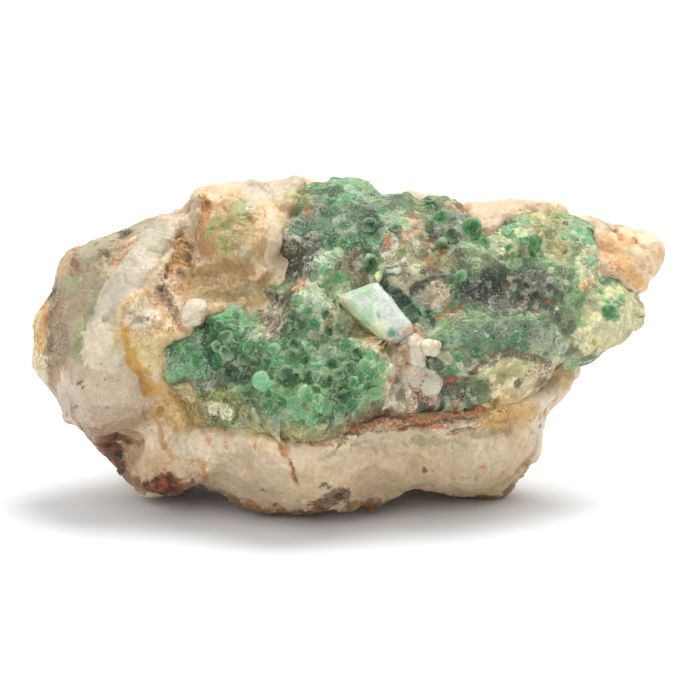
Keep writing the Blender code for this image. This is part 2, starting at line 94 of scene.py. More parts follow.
# Pulls bring parts of the outline onto the photograph's: x, y, reach and shift in pixels
pulls = [
    ("right tip", 655, 252, 46, 15, -2),
    ("tip's upper edge", 632, 226, 26, 3, 2),
    ("top left", 118, 226, 34, 2, 6),
    ("left shoulder", 40, 290, 40, 12, 0),
    ("left edge", 28, 340, 38, 8, 0),
    ("orange rim", 34, 316, 24, 5, 1),
    ("top left's bulge", 88, 236, 26, 1, 7),
    ("left foot", 42, 408, 48, 22, -8),
    ("under the left foot", 72, 438, 34, 6, -12),
    ("top", 245, 178, 52, 0, 5),
    ("crown", 335, 172, 46, 0, 6),
    ("between the crowns", 385, 190, 28, 0, 3),
    ("upper knob", 432, 186, 30, 0, 8),
    ("right shoulder", 580, 207, 24, -2, 5),
    ("right lobe", 655, 312, 44, -11, -2),
    ("right lobe's foot", 640, 345, 40, -2, -12),
    ("below it", 606, 362, 26, 0, -6),
    ("right hollow", 561, 392, 24, 8, 0),
    ("right flank", 560, 427, 34, -13, 0),
]


def pulled(points):
    across, down = toPixels(points)
    moved = np.array(points, float)
    for _, x, y, reach, moveX, moveY in pulls:
        share = 1.0 - smoothstep(0.0, 1.0, np.hypot(across - x, down - y) / reach)
        moved = shifted(moved, share * moveX, share * moveY)
    return moved


def readMesh(mesh):
    count = len(mesh.vertices)
    points = np.empty(count * 3, np.float32)
    normals = np.empty(count * 3, np.float32)
    mesh.vertices.foreach_get("co", points)
    mesh.vertices.foreach_get("normal", normals)
    return points.reshape(-1, 3).astype(float) / unit, normals.reshape(-1, 3).astype(float)


def writePoints(mesh, points):
    mesh.vertices.foreach_set("co", (points * unit).astype(np.float32).ravel())
    mesh.update()


def edgePairs(mesh):
    pairs = np.empty(len(mesh.edges) * 2, np.int32)
    mesh.edges.foreach_get("vertices", pairs)
    return pairs.reshape(-1, 2)


def addObject(name, mesh):
    piece = bpy.data.objects.new(name, mesh)
    bpy.context.scene.collection.objects.link(piece)
    return piece


# The mesh that an object's modifiers make. The object itself goes
def applied(worker):
    graph = bpy.context.evaluated_depsgraph_get()
    mesh = bpy.data.meshes.new_from_object(worker.evaluated_get(graph))
    bpy.data.objects.remove(worker)
    return mesh


# A copy of a CAD node's mesh with its split corners joined again
def nodeCopy(node):
    bm = bmesh.new()
    bm.from_mesh(nodes[node].data)
    bmesh.ops.remove_doubles(bm, verts=bm.verts, dist=1e-6)
    mesh = bpy.data.meshes.new(node + "_copy")
    bm.to_mesh(mesh)
    bm.free()
    return mesh


# A node's form with an even skin of small faces, rounded a little
def evenSkin(node, name, size, rounds):
    worker = addObject(name + "_worker", nodeCopy(node))
    remesh = worker.modifiers.new("remesh", "REMESH")
    remesh.mode = "VOXEL"
    remesh.voxel_size = size * unit
    soften = worker.modifiers.new("soften", "SMOOTH")
    soften.factor = 0.5
    soften.iterations = rounds
    skin = applied(worker)
    skin.name = name
    return skin


# Thins a mesh where the weights are low
def thinned(mesh, weights, ratio):
    worker = addObject("thin_worker", mesh)
    group = worker.vertex_groups.new(name="keep")
    for level in range(1, 11):
        chosen = np.nonzero(np.ceil(weights * 10) == level)[0]
        group.add(chosen.tolist(), level / 10.0, "REPLACE")
    thin = worker.modifiers.new("thin", "DECIMATE")
    thin.ratio = ratio
    thin.use_collapse_triangulate = True
    thin.vertex_group = "keep"
    thin.invert_vertex_group = True
    thin.vertex_group_factor = 1.0
    return applied(worker)


# Smooth noise of one wave length at each point, about -1 to 1
def noiseAt(points, size, seed):
    shift = Vector((seed * 3.7, seed * -1.9, seed * 2.3))
    return np.array([noise.noise(Vector(p) / size + shift) for p in points])


# Adds noise of several wave lengths and heights to a rise
def addWaves(rise, points, waves, seed):
    for index, (size, height) in enumerate(waves):
        rise += height * noiseAt(points, size, seed + index)


# A tree for nearest-point questions about a mesh, or about a CAD node moved to its place
def treeOf(mesh, move=None):
    bm = bmesh.new()
    bm.from_mesh(mesh)
    if move:
        places = move(np.array([vert.co for vert in bm.verts]) / unit) * unit
        for vert, place in zip(bm.verts, places):
            vert.co = place
    tree = BVHTree.FromBMesh(bm)
    bm.free()
    return tree


# A tree for nearest-point questions about a list of places
def placesTree(places):
    tree = KDTree(len(places))
    for index, place in enumerate(places):
        tree.insert(Vector(place), index)
    tree.balance()
    return tree


# Nearest distance in mm, and that place's normal, for each point
def nearestOn(tree, points, reach):
    distance = np.full(len(points), reach)
    normals = np.zeros((len(points), 3))
    for index, point in enumerate(points * unit):
        place, normal, _, far = tree.find_nearest(Vector(point), reach * unit)
        if place is not None:
            distance[index] = far / unit
            normals[index] = normal
    return distance, normals


# Values at a mesh's points, averaged with their neighbours' some rounds over
def blurred(mesh, values, rounds):
    first, second = edgePairs(mesh).T
    count = np.bincount(first, minlength=len(values)) + np.bincount(second, minlength=len(values))
    count = np.maximum(count, 1)
    values = np.array(values, float)
    for _ in range(rounds):
        total = np.bincount(first, values[second], len(values))
        total += np.bincount(second, values[first], len(values))
        values = 0.4 * values + 0.6 * total / count
    return values


# Distance in mm of each point from the nearest open edge of a mesh with these points
def fromBorder(mesh, meshPoints, points):
    bm = bmesh.new()
    bm.from_mesh(mesh)
    border = [vert.index for vert in bm.verts if vert.is_boundary]
    bm.free()
    tree = placesTree(meshPoints[border])
    return np.array([tree.find(Vector(point))[2] for point in points])


# Paint
# Everything here is a patch: a colour (0-255), a strength, an edge softness and ovals
# (x, y, half-width, half-height and, for a leaning one, turn in degrees) or strokes
# ([(x, y), ...], half-width)
def linear(colour):
    values = np.array(colour, float) / 255.0
    return np.where(values <= 0.04045, values / 12.92, ((values + 0.055) / 1.055) ** 2.4)


def amounts(colour):
    return np.array(colour, float)


def ovalRing(px, py, oval):
    x, y, halfWidth, halfHeight, turn = (*oval, 0)[:5]
    angle = math.radians(turn)
    along = (px - x) * math.cos(angle) - (py - y) * math.sin(angle)
    across = (px - x) * math.sin(angle) + (py - y) * math.cos(angle)
    return np.sqrt((along / halfWidth) ** 2 + (across / halfHeight) ** 2)


def strokeRing(px, py, stroke):
    line, halfWidth = stroke
    nearest = np.full(len(px), np.inf)
    for (x0, y0), (x1, y1) in zip(line, line[1:]):
        sideX, sideY = x1 - x0, y1 - y0
        share = ((px - x0) * sideX + (py - y0) * sideY) / (sideX**2 + sideY**2)
        share = np.clip(share, 0.0, 1.0)
        nearest = np.minimum(nearest, np.hypot(px - x0 - share * sideX, py - y0 - share * sideY))
    return nearest / halfWidth


# How patches wander and tear: wave lengths in mm, and amounts in pixels or shares
ragged = {
    "slowSize": 1.9,
    "quickSize": 0.6,
    "fineSize": 0.27,
    "slowWander": 2.8,
    "quickWander": 1.8,
    "rag": 0.35,
    "tear": (0.9, 0.9, 0.8),
}


class Canvas:
    def __init__(self, points, normals, seed, wander):
        across, down = toPixels(points)
        slow = [noiseAt(points, ragged["slowSize"], seed + k) for k in range(2)]
        quick = [noiseAt(points, ragged["quickSize"], seed + 5 + k) for k in range(2)]
        fine = noiseAt(points, ragged["fineSize"], seed + 9)
        slowWander, quickWander = ragged["slowWander"], ragged["quickWander"]
        self.px = across + wander * (slowWander * slow[0] + quickWander * quick[0])
        self.py = down + wander * (slowWander * slow[1] + quickWander * quick[1])
        self.rag = slow[0] * 0.5 + quick[1] * 0.5
        slowTear, quickTear, fineTear = ragged["tear"]
        self.torn = slowTear * slow[1] + quickTear * quick[0] + fineTear * fine
        self.front = smoothstep(-0.35, 0.05, normals @ outAxis)

    # How far each point lies inside the shapes. Torn edges break up where the mask is half full
    def mask(self, shapes, softness, torn=0.0):
        best = np.zeros(len(self.px))
        for shape in shapes:
            ringOf = strokeRing if len(shape) == 2 else ovalRing
            ring = ringOf(self.px, self.py, shape) + ragged["rag"] * softness * self.rag
            best = np.maximum(best, 1.0 - smoothstep(1.0 - softness, 1.0 + softness, ring))
        if torn:
            middle = 4.0 * best * (1.0 - best)
            best = smoothstep(0.24, 0.76, best + torn * middle * self.torn)
        return best * self.front

    def paint(self, start, patches, convert=linear, torn=0.65):
        colours = np.array(start, float)
        for _, colour, strength, softness, shapes in patches:
            share = (strength * self.mask(shapes, softness, torn))[:, None]
            colours += (convert(colour) - colours) * share
        return colours

    def relief(self, forms):
        rise = np.zeros(len(self.px))
        for _, height, softness, shapes in forms:
            rise += height * self.mask(shapes, softness)
        return rise

    # The largest of the places' amounts at each point, and at least the least amount
    def strongest(self, least, places, softness, gain=1.0):
        best = np.full(len(self.px), least)
        for _, amount, shapes in places:
            best = np.maximum(best, gain * amount * self.mask(shapes, softness))
        return best


# Colours that drift from the first to the others, for the sides that the photograph hides:
# colour, wave length, seed, noise where it starts and is full, and strength
def drifting(points, first, drifts, unevenness=0.0):
    colours = np.tile(linear(first), (len(points), 1))
    for colour, size, seed, low, high, strength in drifts:
        share = strength * smoothstep(low, high, noiseAt(points, size, seed) + unevenness)[:, None]
        colours += (linear(colour) - colours) * share
    return colours


def storeColour(mesh, name, colours, extra=None):
    layer = mesh.color_attributes.new(name, "FLOAT_COLOR", "POINT")
    rows = np.ones((len(colours), 4), np.float32)
    rows[:, :3] = colours
    if extra is not None:
        rows[:, 3] = extra
    layer.data.foreach_set("color", rows.ravel())


# Writes a finished piece's points, paint, specks and name
def finished(name, mesh, points, colours, specks, grit=None):
    writePoints(mesh, points)
    storeColour(mesh, "paint", colours, grit)
    storeColour(mesh, "specks", specks)
    mesh.shade_smooth()
    print(name, len(mesh.polygons))
    return addObject(name, mesh)


# Flat chips of broken rock: each point follows the tilt of its nearest chip
def facets(points, size, tilt, seed):
    generator = np.random.default_rng(seed)
    low, high = points.min(axis=0), points.max(axis=0)
    count = int(np.prod((high - low) / size))
    centres = low + generator.random((count, 3)) * (high - low)
    tilts = generator.normal(size=(count, 3)) * tilt
    tree = placesTree(centres)
    nearest = np.array([tree.find(Vector(point))[1] for point in points])
    return dots(points - centres[nearest], tilts[nearest])


# Rock
rock = {
    "skinSize": 0.215,
    "softenRounds": 16,
    "thin": 0.47,
    "seed": 11,
    "facetSize": 3.4,
    "facetTilt": 0.05,
    "plainChips": 0.08,
    "chipSize": 1.5,
    "chipTilt": 0.16,
    "inset": 0.15,
    "bank": 1.15,
    "bankReach": 3.0,
    "bankRounds": 14,
    "footHeight": 0.6,
    "warmth": (0.89, 0.85, 0.78),
    "waves": [(5.0, 0.16), (2.0, 0.06), (0.9, 0.03)],
    "cream": (238, 220, 190),
    "drifts": [
        ((214, 200, 174), 9.0, 41, -0.1, 0.45, 1.0),
        ((226, 194, 146), 6.0, 43, 0.0, 0.6, 0.7),
        ((150, 112, 78), 4.5, 45, 0.18, 0.7, 0.75),
    ],
    "unevenness": [(1.3, 0.22, 47), (0.5, 0.14, 48)],
    "plainSpecks": (0.02, 0.03, 0.10),
    "driftVeins": 0.4,
    "grit": 0.12,
}

# Lines on the photograph that several lists follow
bandLine = [(172, 222), (142, 262), (114, 305), (98, 350)]
stainLine = [(95, 436), (112, 446), (120, 474)]
footLine = [(312, 504), (346, 493)]
ridgeLine = [(334, 262), (322, 290), (308, 306)]

rockRelief = [
    ("under the crust by the pale block", -1.4, 0.4, [(412, 300, 30, 26)]),
    ("pale band", 0.25, 0.2, [(bandLine, 15)]),
    ("brown step", -0.2, 0.6, [([(184, 238), (187, 258), (175, 274)], 6)]),
    ("yellow block", 0.2, 0.2, [(233, 233, 33, 31)]),
    ("recess", -0.15, 0.5, [(222, 287, 42, 14)]),
    ("white nub", 0.6, 0.4, [(196, 313, 9, 12)]),
    ("ring", 0.25, 0.4, [(148, 318, 20, 22)]),
    ("hollow in the ring", -0.4, 0.7, [(150, 316, 9, 11)]),
    ("amber sill", -0.25, 0.5, [([(128, 345), (150, 375), (160, 398)], 8)]),
    ("under the lobe", -0.15, 0.8, [([(118, 434), (140, 428), (162, 415)], 6)]),
    ("nodule", 0.25, 0.5, [(165, 484, 15, 9)]),
    ("crack", -0.3, 0.6, [
        ([(282, 442), (287, 453)], 2.0), ([(291, 460), (297, 482)], 2.0),
        ([(604, 221), (616, 232), (623, 240)], 2.0), ([(192, 200), (187, 222)], 2.0),
        ([(170, 457), (200, 460)], 1.6), ([(163, 408), (165, 445)], 2.0),
    ]),
]

# Where the rock is broken into small chips, and how strongly
chipped = [
    ("pale band", 0.3, 0.3, [([(172, 222), (142, 262), (114, 305), (98, 345)], 17)]),
    ("top left", 0.4, 0.5, [(110, 245, 40, 18, 20), (66, 300, 16, 50, 10)]),
    ("step and strip", 1.0, 0.4, [([(195, 205), (184, 238), (187, 262), (175, 278), (170, 300)], 14)]),
    ("block", 0.7, 0.3, [(233, 233, 38, 36)]),
    ("ring", 0.8, 0.4, [(150, 318, 26, 30)]),
    ("slab", 0.6, 0.4, [(262, 188, 40, 14)]),
    ("base's ledge", 0.6, 0.5, [(275, 444, 30, 12, 10), (215, 452, 40, 14)]),
    ("underside", 0.8, 0.5, [([(126, 470), (190, 486), (285, 512), (350, 502), (505, 500), (530, 470)], 12)]),
    ("right end", 0.4, 0.5, [(555, 400, 22, 50, -30)]),
    ("tip", 0.7, 0.4, [(625, 258, 44, 40)]),
]

rockPaint = [
    ("left plane", (178, 163, 138), 0.9, 0.35, [(85, 315, 45, 62, 25)]),
    ("its grey-green top", (170, 168, 142), 0.85, 0.5, [
        (102, 250, 30, 13, 20), ([(64, 262), (84, 246), (104, 236), (128, 228), (150, 220)], 10),
    ]),
    ("dark patches on top", (88, 88, 80), 0.85, 0.5, [(124, 232, 9, 4, 20), (112, 239, 4, 3)]),
    ("tan corner", (218, 184, 140), 0.75, 0.6, [(62, 262, 9, 22, -25)]),
    ("grey flecks", (96, 86, 78), 0.7, 0.6, [(76, 263, 4, 8, 20), (105, 253, 6, 4, 30)]),
    ("rusty flecks", (196, 140, 88), 0.75, 0.6, [(131, 258, 9, 9), (119, 262, 6, 5)]),
    ("rusty edge", (150, 112, 84), 0.6, 0.6, [([(140, 238), (134, 254), (130, 262)], 3)]),
    ("green corner", (178, 186, 146), 0.7, 0.5, [(74, 284, 9, 7, 10)]),
    ("green band", (160, 172, 124), 0.75, 0.6, [([(128, 272), (100, 302), (86, 330), (80, 352)], 7)]),
    ("pale band", (214, 206, 190), 0.95, 0.3, [(bandLine, 15)]),
    ("pale band's cool top", (192, 190, 170), 0.8, 0.5, [(158, 240, 17, 18, 40)]),
    ("cream strip", (216, 198, 176), 0.9, 0.4, [([(168, 219), (190, 205), (196, 226)], 11)]),
    ("pale band's middle", (210, 203, 188), 0.8, 0.5, [(124, 302, 14, 22, 30)]),
    ("lower-left lobe", (208, 190, 168), 0.9, 0.35, [(110, 392, 58, 40)]),
    ("lobe's light top", (230, 221, 200), 0.85, 0.5, [(106, 350, 26, 22)]),
    ("lobe's grey foot", (188, 170, 152), 0.7, 0.5, [(125, 418, 36, 14), (68, 405, 14, 12)]),
    ("speckled left edge", (170, 145, 116), 0.8, 0.5, [(58, 330, 12, 40, 5), (52, 378, 9, 30, -12)]),
    ("brown in it", (128, 98, 70), 0.7, 0.6, [(50, 345, 5, 16), (52, 292, 4, 10, 20)]),
    ("orange rim", (232, 190, 116), 0.95, 0.4, [([(40, 306), (36, 330), (38, 346)], 8)]),
    ("rim's light grains", (240, 220, 176), 0.7, 0.6, [(36, 318, 5, 12), (36, 362, 5, 12)]),
    ("rim's orange line", (206, 136, 66), 0.7, 0.6, [([(46, 312), (43, 335)], 2.0)]),
    ("pale foot of the rim", (222, 210, 190), 0.7, 0.5, [(42, 385, 6, 18, -15)]),
    ("ring's ground", (232, 208, 156), 0.9, 0.35, [(150, 332, 30, 36, 15)]),
    ("ring", (228, 216, 192), 0.9, 0.3, [(148, 316, 19, 20)]),
    ("ring's honey rim", (212, 174, 114), 0.7, 0.5, [
        ([(128, 316), (134, 301), (150, 295), (164, 303)], 2.4),
        ([(164, 303), (168, 318), (160, 333), (144, 337), (131, 329)], 2.4),
    ]),
    ("ring's grey eye", (190, 178, 158), 0.6, 0.6, [(144, 318, 4, 7), (163, 297, 7, 4)]),
    ("ring's white", (240, 234, 218), 0.7, 0.5, [(154, 314, 6, 8)]),
    ("amber", (208, 160, 64), 0.85, 0.9, [
        ([(134, 352), (148, 375), (155, 390)], 7), ([(131, 330), (130, 348)], 3.5),
    ]),
    ("amber's deep part", (188, 134, 50), 0.6, 0.7, [([(144, 374), (154, 392)], 4)]),
    ("light yellow", (226, 212, 160), 0.75, 0.6, [(152, 352, 11, 16)]),
    ("tan foot of the amber", (210, 184, 140), 0.8, 0.6, [(178, 412, 22, 18)]),
    ("its brown sugar", (184, 148, 100), 0.6, 0.6, [(176, 398, 12, 6), (190, 414, 8, 5)]),
    ("rust beside it", (178, 100, 58), 0.7, 0.6, [(164, 412, 3, 9), (180, 426, 4, 4)]),
    ("yellow block", (204, 184, 136), 0.95, 0.25, [(233, 233, 36, 36)]),
    ("block's left", (196, 150, 104), 0.7, 0.6, [(208, 240, 12, 26)]),
    ("block's green", (178, 180, 116), 0.75, 0.6, [
        (222, 224, 10, 7), (243, 212, 9, 7), (232, 246, 12, 8), (207, 238, 6, 5),
    ]),
    ("block's green-grey", (176, 188, 152), 0.7, 0.6, [(246, 210, 8, 6), (240, 240, 8, 7)]),
    ("block's tan right", (226, 204, 162), 0.8, 0.4, [([(262, 212), (264, 240), (260, 260)], 6)]),
    ("block's orange edges", (204, 150, 88), 0.6, 0.5, [
        ([(264, 208), (265, 228), (261, 256)], 1.0), ([(206, 267), (230, 263), (256, 266)], 1.4),
        ([(200, 214), (214, 206), (232, 200)], 1.2),
    ]),
    ("block's greens", (150, 172, 104), 0.8, 0.3, [
        (236, 216, 4, 3, 30), (226, 228, 5, 3, -20), (222, 240, 4, 3, 20), (243, 222, 5, 2.5),
        (230, 250, 4, 2.5), (212, 232, 3, 4),
    ]),
    ("block's whites", (226, 220, 194), 0.8, 0.3, [(252, 208, 5, 4), (246, 250, 6, 5, 20), (216, 216, 4, 3)]),
    ("top slab", (224, 212, 194), 0.9, 0.4, [(262, 188, 36, 12)]),
    ("orange in the slab", (234, 196, 144), 0.6, 0.6, [(232, 192, 12, 7), (212, 188, 8, 5)]),
    ("green in the slab", (186, 192, 142), 0.7, 0.6, [(291, 194, 8, 9)]),
    ("rust patch", (204, 146, 82), 0.9, 0.6, [(206, 207, 7, 15, 15), (202, 222, 6, 5)]),
    ("its dark heart", (132, 88, 60), 0.7, 0.6, [(208, 205, 4, 7, 15)]),
    ("brown step", (226, 184, 130), 0.9, 0.45, [([(183, 238), (187, 256), (178, 270)], 7)]),
    ("black in the step", (84, 62, 48), 0.7, 0.5, [
        ([(183, 237), (190, 244)], 2.5), ([(188, 252), (190, 262)], 2), ([(172, 268), (170, 276)], 3),
        ([(184, 268), (186, 280)], 2.5),
    ]),
    ("recess", (212, 186, 142), 0.95, 0.3, [(228, 289, 47, 22)]),
    # Brown top of the recess, with painted shadow under the yellow block's lower edge
    ("recess's brown lid and painted shadow", (176, 140, 92), 0.7, 0.7, [([(192, 272), (226, 268), (252, 272)], 6)]),
    ("recess's olive", (152, 142, 100), 0.6, 0.6, [(222, 299, 20, 7)]),
    ("recess's sand", (196, 180, 150), 0.6, 0.7, [(250, 290, 14, 8), (210, 284, 8, 5)]),
    ("orange ledge", (206, 162, 112), 0.75, 0.5, [(184, 286, 10, 9), (190, 300, 6, 8)]),
    ("dark patch by the ring", (150, 120, 92), 0.8, 0.6, [([(165, 290), (173, 306), (179, 320)], 6)]),
    ("its black", (84, 66, 54), 0.7, 0.5, [(172, 304, 3, 3), (177, 318, 3, 4), (164, 291, 3, 2)]),
    ("white nub", (238, 230, 212), 1.0, 0.25, [(196, 313, 9, 12)]),
    ("rust round the nub", (206, 140, 84), 0.7, 0.6, [([(188, 303), (199, 299)], 2), (186, 330, 5, 4)]),
    # Painted shade: the base's front darker towards its bottom
    ("painted shade on the base's lower half", (190, 164, 130), 0.5, 0.7, [
        ([(130, 474), (200, 480), (260, 500), (330, 496), (400, 488), (505, 486)], 16),
    ]),
    ("dark stain", (98, 70, 48), 0.95, 0.4, [([(108, 440), (114, 456), (121, 474)], 9)]),
    ("black in the stain", (44, 38, 36), 0.85, 0.5, [
        ([(112, 436), (118, 452), (119, 470)], 4), ([(116, 438), (130, 442)], 3),
    ]),
    ("red edge of the stain", (140, 82, 54), 0.85, 0.5, [([(84, 432), (98, 436), (104, 452)], 5)]),
    ("cream shelf", (226, 204, 170), 0.9, 0.4, [(137, 437, 11, 3.5), (140, 450, 9, 5)]),
    ("foot lump", (224, 196, 158), 0.85, 0.4, [(150, 462, 26, 14)]),
    ("honey line", (206, 158, 98), 0.7, 0.5, [([(160, 425), (166, 446), (172, 458)], 2.5)]),
    # Brown along the bottom edge, partly painted shade where the base turns under
    ("brown underside with painted shade", (150, 112, 76), 0.85, 0.6, [
        ([(124, 478), (145, 488), (186, 488), (212, 494), (245, 504), (270, 514)], 6),
        ([(250, 514), (290, 520), (322, 512)], 6), ([(350, 506), (420, 502), (505, 502)], 5),
        ([(508, 496), (530, 472)], 4),
    ]),
    # Painted shadow along the lower edge of the lower-left lobe
    ("painted shadow at the lobe's lower edge", (176, 150, 118), 0.7, 0.6, [
        ([(70, 428), (100, 432), (128, 426), (160, 412)], 6),
    ]),
    ("nodule's rim", (110, 66, 40), 0.95, 0.4, [(165, 485, 20, 12)]),
    ("nodule's ring", (52, 34, 28), 0.95, 0.3, [(165, 484, 14, 9)]),
    ("nodule", (116, 38, 4), 1.0, 0.3, [(164, 484, 9.5, 6)]),
    ("base's grey-cream", (206, 190, 166), 0.7, 0.6, [(260, 472, 44, 26), (430, 462, 70, 24)]),
    ("base's middle", (212, 194, 164), 0.6, 0.6, [(330, 466, 50, 26)]),
    # Lighter cream on the base's upper front, partly painted highlight
    ("base's light cream and painted highlights", (236, 220, 198), 0.65, 0.6, [
        (300, 460, 26, 10), (540, 425, 22, 30), (215, 445, 26, 10), (372, 462, 26, 12),
    ]),
    ("base's tan right", (206, 182, 148), 0.7, 0.7, [(415, 468, 70, 24)]),
    ("ledge's edge", (214, 158, 96), 0.8, 0.3, [([(256, 446), (262, 434), (284, 437), (289, 450)], 1.6)]),
    ("ledge", (236, 218, 186), 0.9, 0.25, [([(264, 441), (280, 443)], 6)]),
    ("orange streaks", (208, 142, 80), 0.75, 0.5, [
        ([(205, 462), (208, 480)], 2.5), ([(281, 441), (287, 455)], 2.0),
        ([(290, 460), (297, 482)], 1.6), (213, 439, 4, 3),
        ([(545, 418), (547, 410)], 2), (508, 423, 3, 2), (483, 466, 4, 3),
        ([(430, 488), (436, 483)], 1.6),
    ]),
    ("crack's heart", (120, 66, 36), 0.8, 0.5, [([(293, 462), (297, 480)], 1.0)]),
    ("brown flecks", (92, 54, 36), 0.8, 0.5, [
        (263, 487, 2.5, 3), (324, 483, 5, 2, 20), (329, 485, 3, 2), (275, 506, 2, 2),
        (84, 383, 3, 2, 20), (87, 388, 2, 2), (77, 407, 3, 1.4), (112, 407, 1.6, 1.2),
        (69, 413, 2, 1.2), (141, 477, 2.4, 1.4), (538, 425, 2, 2), (529, 409, 2.4, 2),
        (190, 422, 2.4, 2.4), (424, 470, 3, 3), (417, 495, 3, 1.6),
    ]),
    ("stain at the foot", (108, 78, 50), 0.85, 0.6, [([(318, 502), (335, 494), (346, 493)], 6)]),
    ("black in it", (58, 44, 34), 0.65, 0.5, [(340, 495, 6, 3)]),
    ("right base's tan", (214, 182, 128), 0.7, 0.6, [(500, 415, 30, 14), (560, 380, 22, 12, -35)]),
    ("right tip", (244, 222, 192), 0.9, 0.4, [(628, 262, 36, 40)]),
    ("orange in the tip", (238, 192, 132), 0.8, 0.6, [
        ([(606, 245), (622, 262), (640, 280)], 9), (626, 240, 8, 6), (661, 254, 3, 7),
    ]),
    ("lines in the tip", (188, 112, 52), 0.75, 0.5, [
        ([(606, 222), (614, 229), (620, 238)], 1.3), (634, 238, 3, 3), (618, 270, 3, 3),
    ]),
    ("right hump", (232, 210, 184), 0.9, 0.4, [(500, 214, 40, 16)]),
    ("orange by the hump", (232, 180, 124), 0.6, 0.6, [(466, 210, 8, 4), (483, 222, 5, 3)]),
]

# Laid over both the rock and the crust, across their border
sharedPaint = [
    ("seam's ground", (158, 132, 96), 0.75, 0.7, [([(350, 426), (400, 420), (440, 419), (486, 411)], 7)]),
    ("seam", (180, 104, 58), 0.8, 0.6, [
        ([(338, 436), (362, 425), (400, 421), (440, 420), (486, 408)], 1.4),
        ([(356, 421), (380, 415), (410, 413), (438, 409), (470, 405)], 1.2),
        ([(430, 434), (462, 431), (480, 424), (500, 420)], 0.8), ([(300, 440), (320, 446), (345, 441)], 0.7),
        ([(390, 428), (416, 425), (446, 427)], 1.2), ([(470, 414), (492, 408), (504, 412)], 1.0),
    ]),
    ("seam's shadow", (84, 58, 42), 0.8, 0.5, [
        ([(346, 422), (372, 418), (410, 416)], 1.4), ([(396, 426), (430, 424), (486, 414)], 1.4),
        ([(342, 433), (362, 431)], 1.2), ([(440, 413), (470, 409)], 1.5), ([(448, 430), (474, 427)], 1.0),
    ]),
    ("green stain under the seam", (150, 144, 100), 0.6, 0.6, [
        (300, 440, 20, 4, 10), (430, 440, 26, 5), (478, 432, 16, 5),
    ]),
    ("amber foot of the crust", (206, 170, 104), 0.7, 0.6, [
        (182, 410, 24, 20), (168, 388, 12, 12), (512, 408, 30, 8, -12), (490, 420, 16, 8),
    ]),
    ("light foot of the crust", (170, 164, 112), 0.5, 0.6, [([(205, 428), (250, 432), (290, 436)], 5)]),
]

sharedSpecks = [
    ("seam", (0.36, 0.04, 0.4), 1.0, 0.5, [([(336, 434), (366, 420), (440, 418), (492, 410)], 10)]),
]

# Amounts of dark specks, of pale specks that are partly white grains and partly painted glints, and of rusty
# veins
rockSpecks = [
    ("left plane", (0.03, 0.12, 0.15), 1.0, 0.5, [(85, 315, 50, 65, 25)]),
    ("left edge", (0.22, 0.22, 0.3), 0.9, 0.5, [(56, 335, 14, 50)]),
    ("top flecks", (0.22, 0.05, 0.7), 0.9, 0.5, [(128, 250, 14, 20), (76, 264, 8, 12)]),
    ("pale band", (0.0, 0.05, 0.03), 0.9, 0.4, [(bandLine, 13)]),
    ("lower lobe", (0.01, 0.05, 0.1), 0.9, 0.4, [(105, 385, 46, 36)]),
    ("step", (0.35, 0.15, 0.35), 1.0, 0.4, [([(183, 236), (187, 258), (172, 276), (176, 320)], 11)]),
    ("ring", (0.05, 0.15, 0.3), 0.9, 0.5, [(150, 325, 28, 34)]),
    ("rust patch", (0.4, 0.0, 0.8), 1.0, 0.5, [(206, 207, 9, 16, 15)]),
    ("block", (0.02, 0.15, 0.45), 0.9, 0.4, [(233, 233, 40, 36)]),
    ("recess", (0.04, 0.05, 0.4), 0.8, 0.5, [(228, 288, 44, 20)]),
    ("stain", (0.5, 0.1, 0.6), 1.0, 0.4, [(stainLine, 12)]),
    ("nodule", (0.5, 0.0, 0.6), 1.0, 0.4, [(165, 485, 20, 12)]),
    ("underside", (0.25, 0.0, 0.6), 0.8, 0.5, [([(126, 480), (150, 490), (212, 492), (285, 516)], 7)]),
    ("foot stain", (0.5, 0.0, 0.5), 0.9, 0.5, [(footLine, 8)]),
    ("rim", (0.04, 0.5, 0.3), 0.9, 0.4, [([(40, 306), (35, 335), (38, 368)], 10)]),
    ("base", (0.01, 0.03, 0.30), 0.9, 0.4, [(300, 468, 110, 30), (460, 450, 80, 30)]),
    ("tip", (0.01, 0.02, 0.4), 0.9, 0.4, [(625, 258, 40, 36)]),
    ("slab", (0.0, 0.03, 0.12), 0.9, 0.4, [(262, 190, 36, 14)]),
]

# Crusty parts of the rock with fine light and dark grit
gritty = [
    ("step", 2.4, [([(183, 236), (187, 258), (172, 276), (176, 322)], 9), (206, 207, 8, 16, 15)]),
    ("recess", 1.3, [(228, 290, 46, 20)]),
    ("ring", 1.1, [(150, 322, 26, 32)]),
    ("stain", 2.2, [(stainLine, 10), (footLine, 7)]),
    ("nodule", 2.0, [(165, 485, 18, 11)]),
    ("underside", 1.2, [([(126, 480), (150, 490), (212, 492), (285, 516), (350, 506), (505, 502)], 6)]),
    ("rim", 1.8, [([(40, 306), (36, 330), (38, 362)], 8)]),
    ("left edge", 1.2, [(54, 335, 11, 46)]),
    ("block", 0.9, [(233, 233, 36, 34)]),
    ("foot of the amber", 1.4, [(180, 408, 22, 18)]),
    ("seam", 2.2, [([(336, 436), (366, 424), (440, 421), (500, 412)], 7)]),
    ("top left", 0.8, [(104, 252, 36, 18, 20)]),
]


def rockGround(points):
    (size, height, seed), (fineSize, fineHeight, fineSeed) = rock["unevenness"]
    uneven = height * noiseAt(points, size, seed) + fineHeight * noiseAt(points, fineSize, fineSeed)
    return drifting(points, rock["cream"], rock["drifts"], uneven)


# The rock's skin, with fewer faces where the crust or the stone itself hides it
def rockSkin():
    mesh = evenSkin("host_rock", "rock", rock["skinSize"], rock["softenRounds"])
    points, normals = readMesh(mesh)
    distance, crustNormals = nearestOn(crustTree, pulled(points), 2.0)
    covered = (distance < 1.0) & (dots(normals, crustNormals) < -0.6)
    weights = smoothstep(-0.1, 0.2, normals @ outAxis) * np.where(covered, 0.0, 1.0)
    return thinned(mesh, weights, rock["thin"])


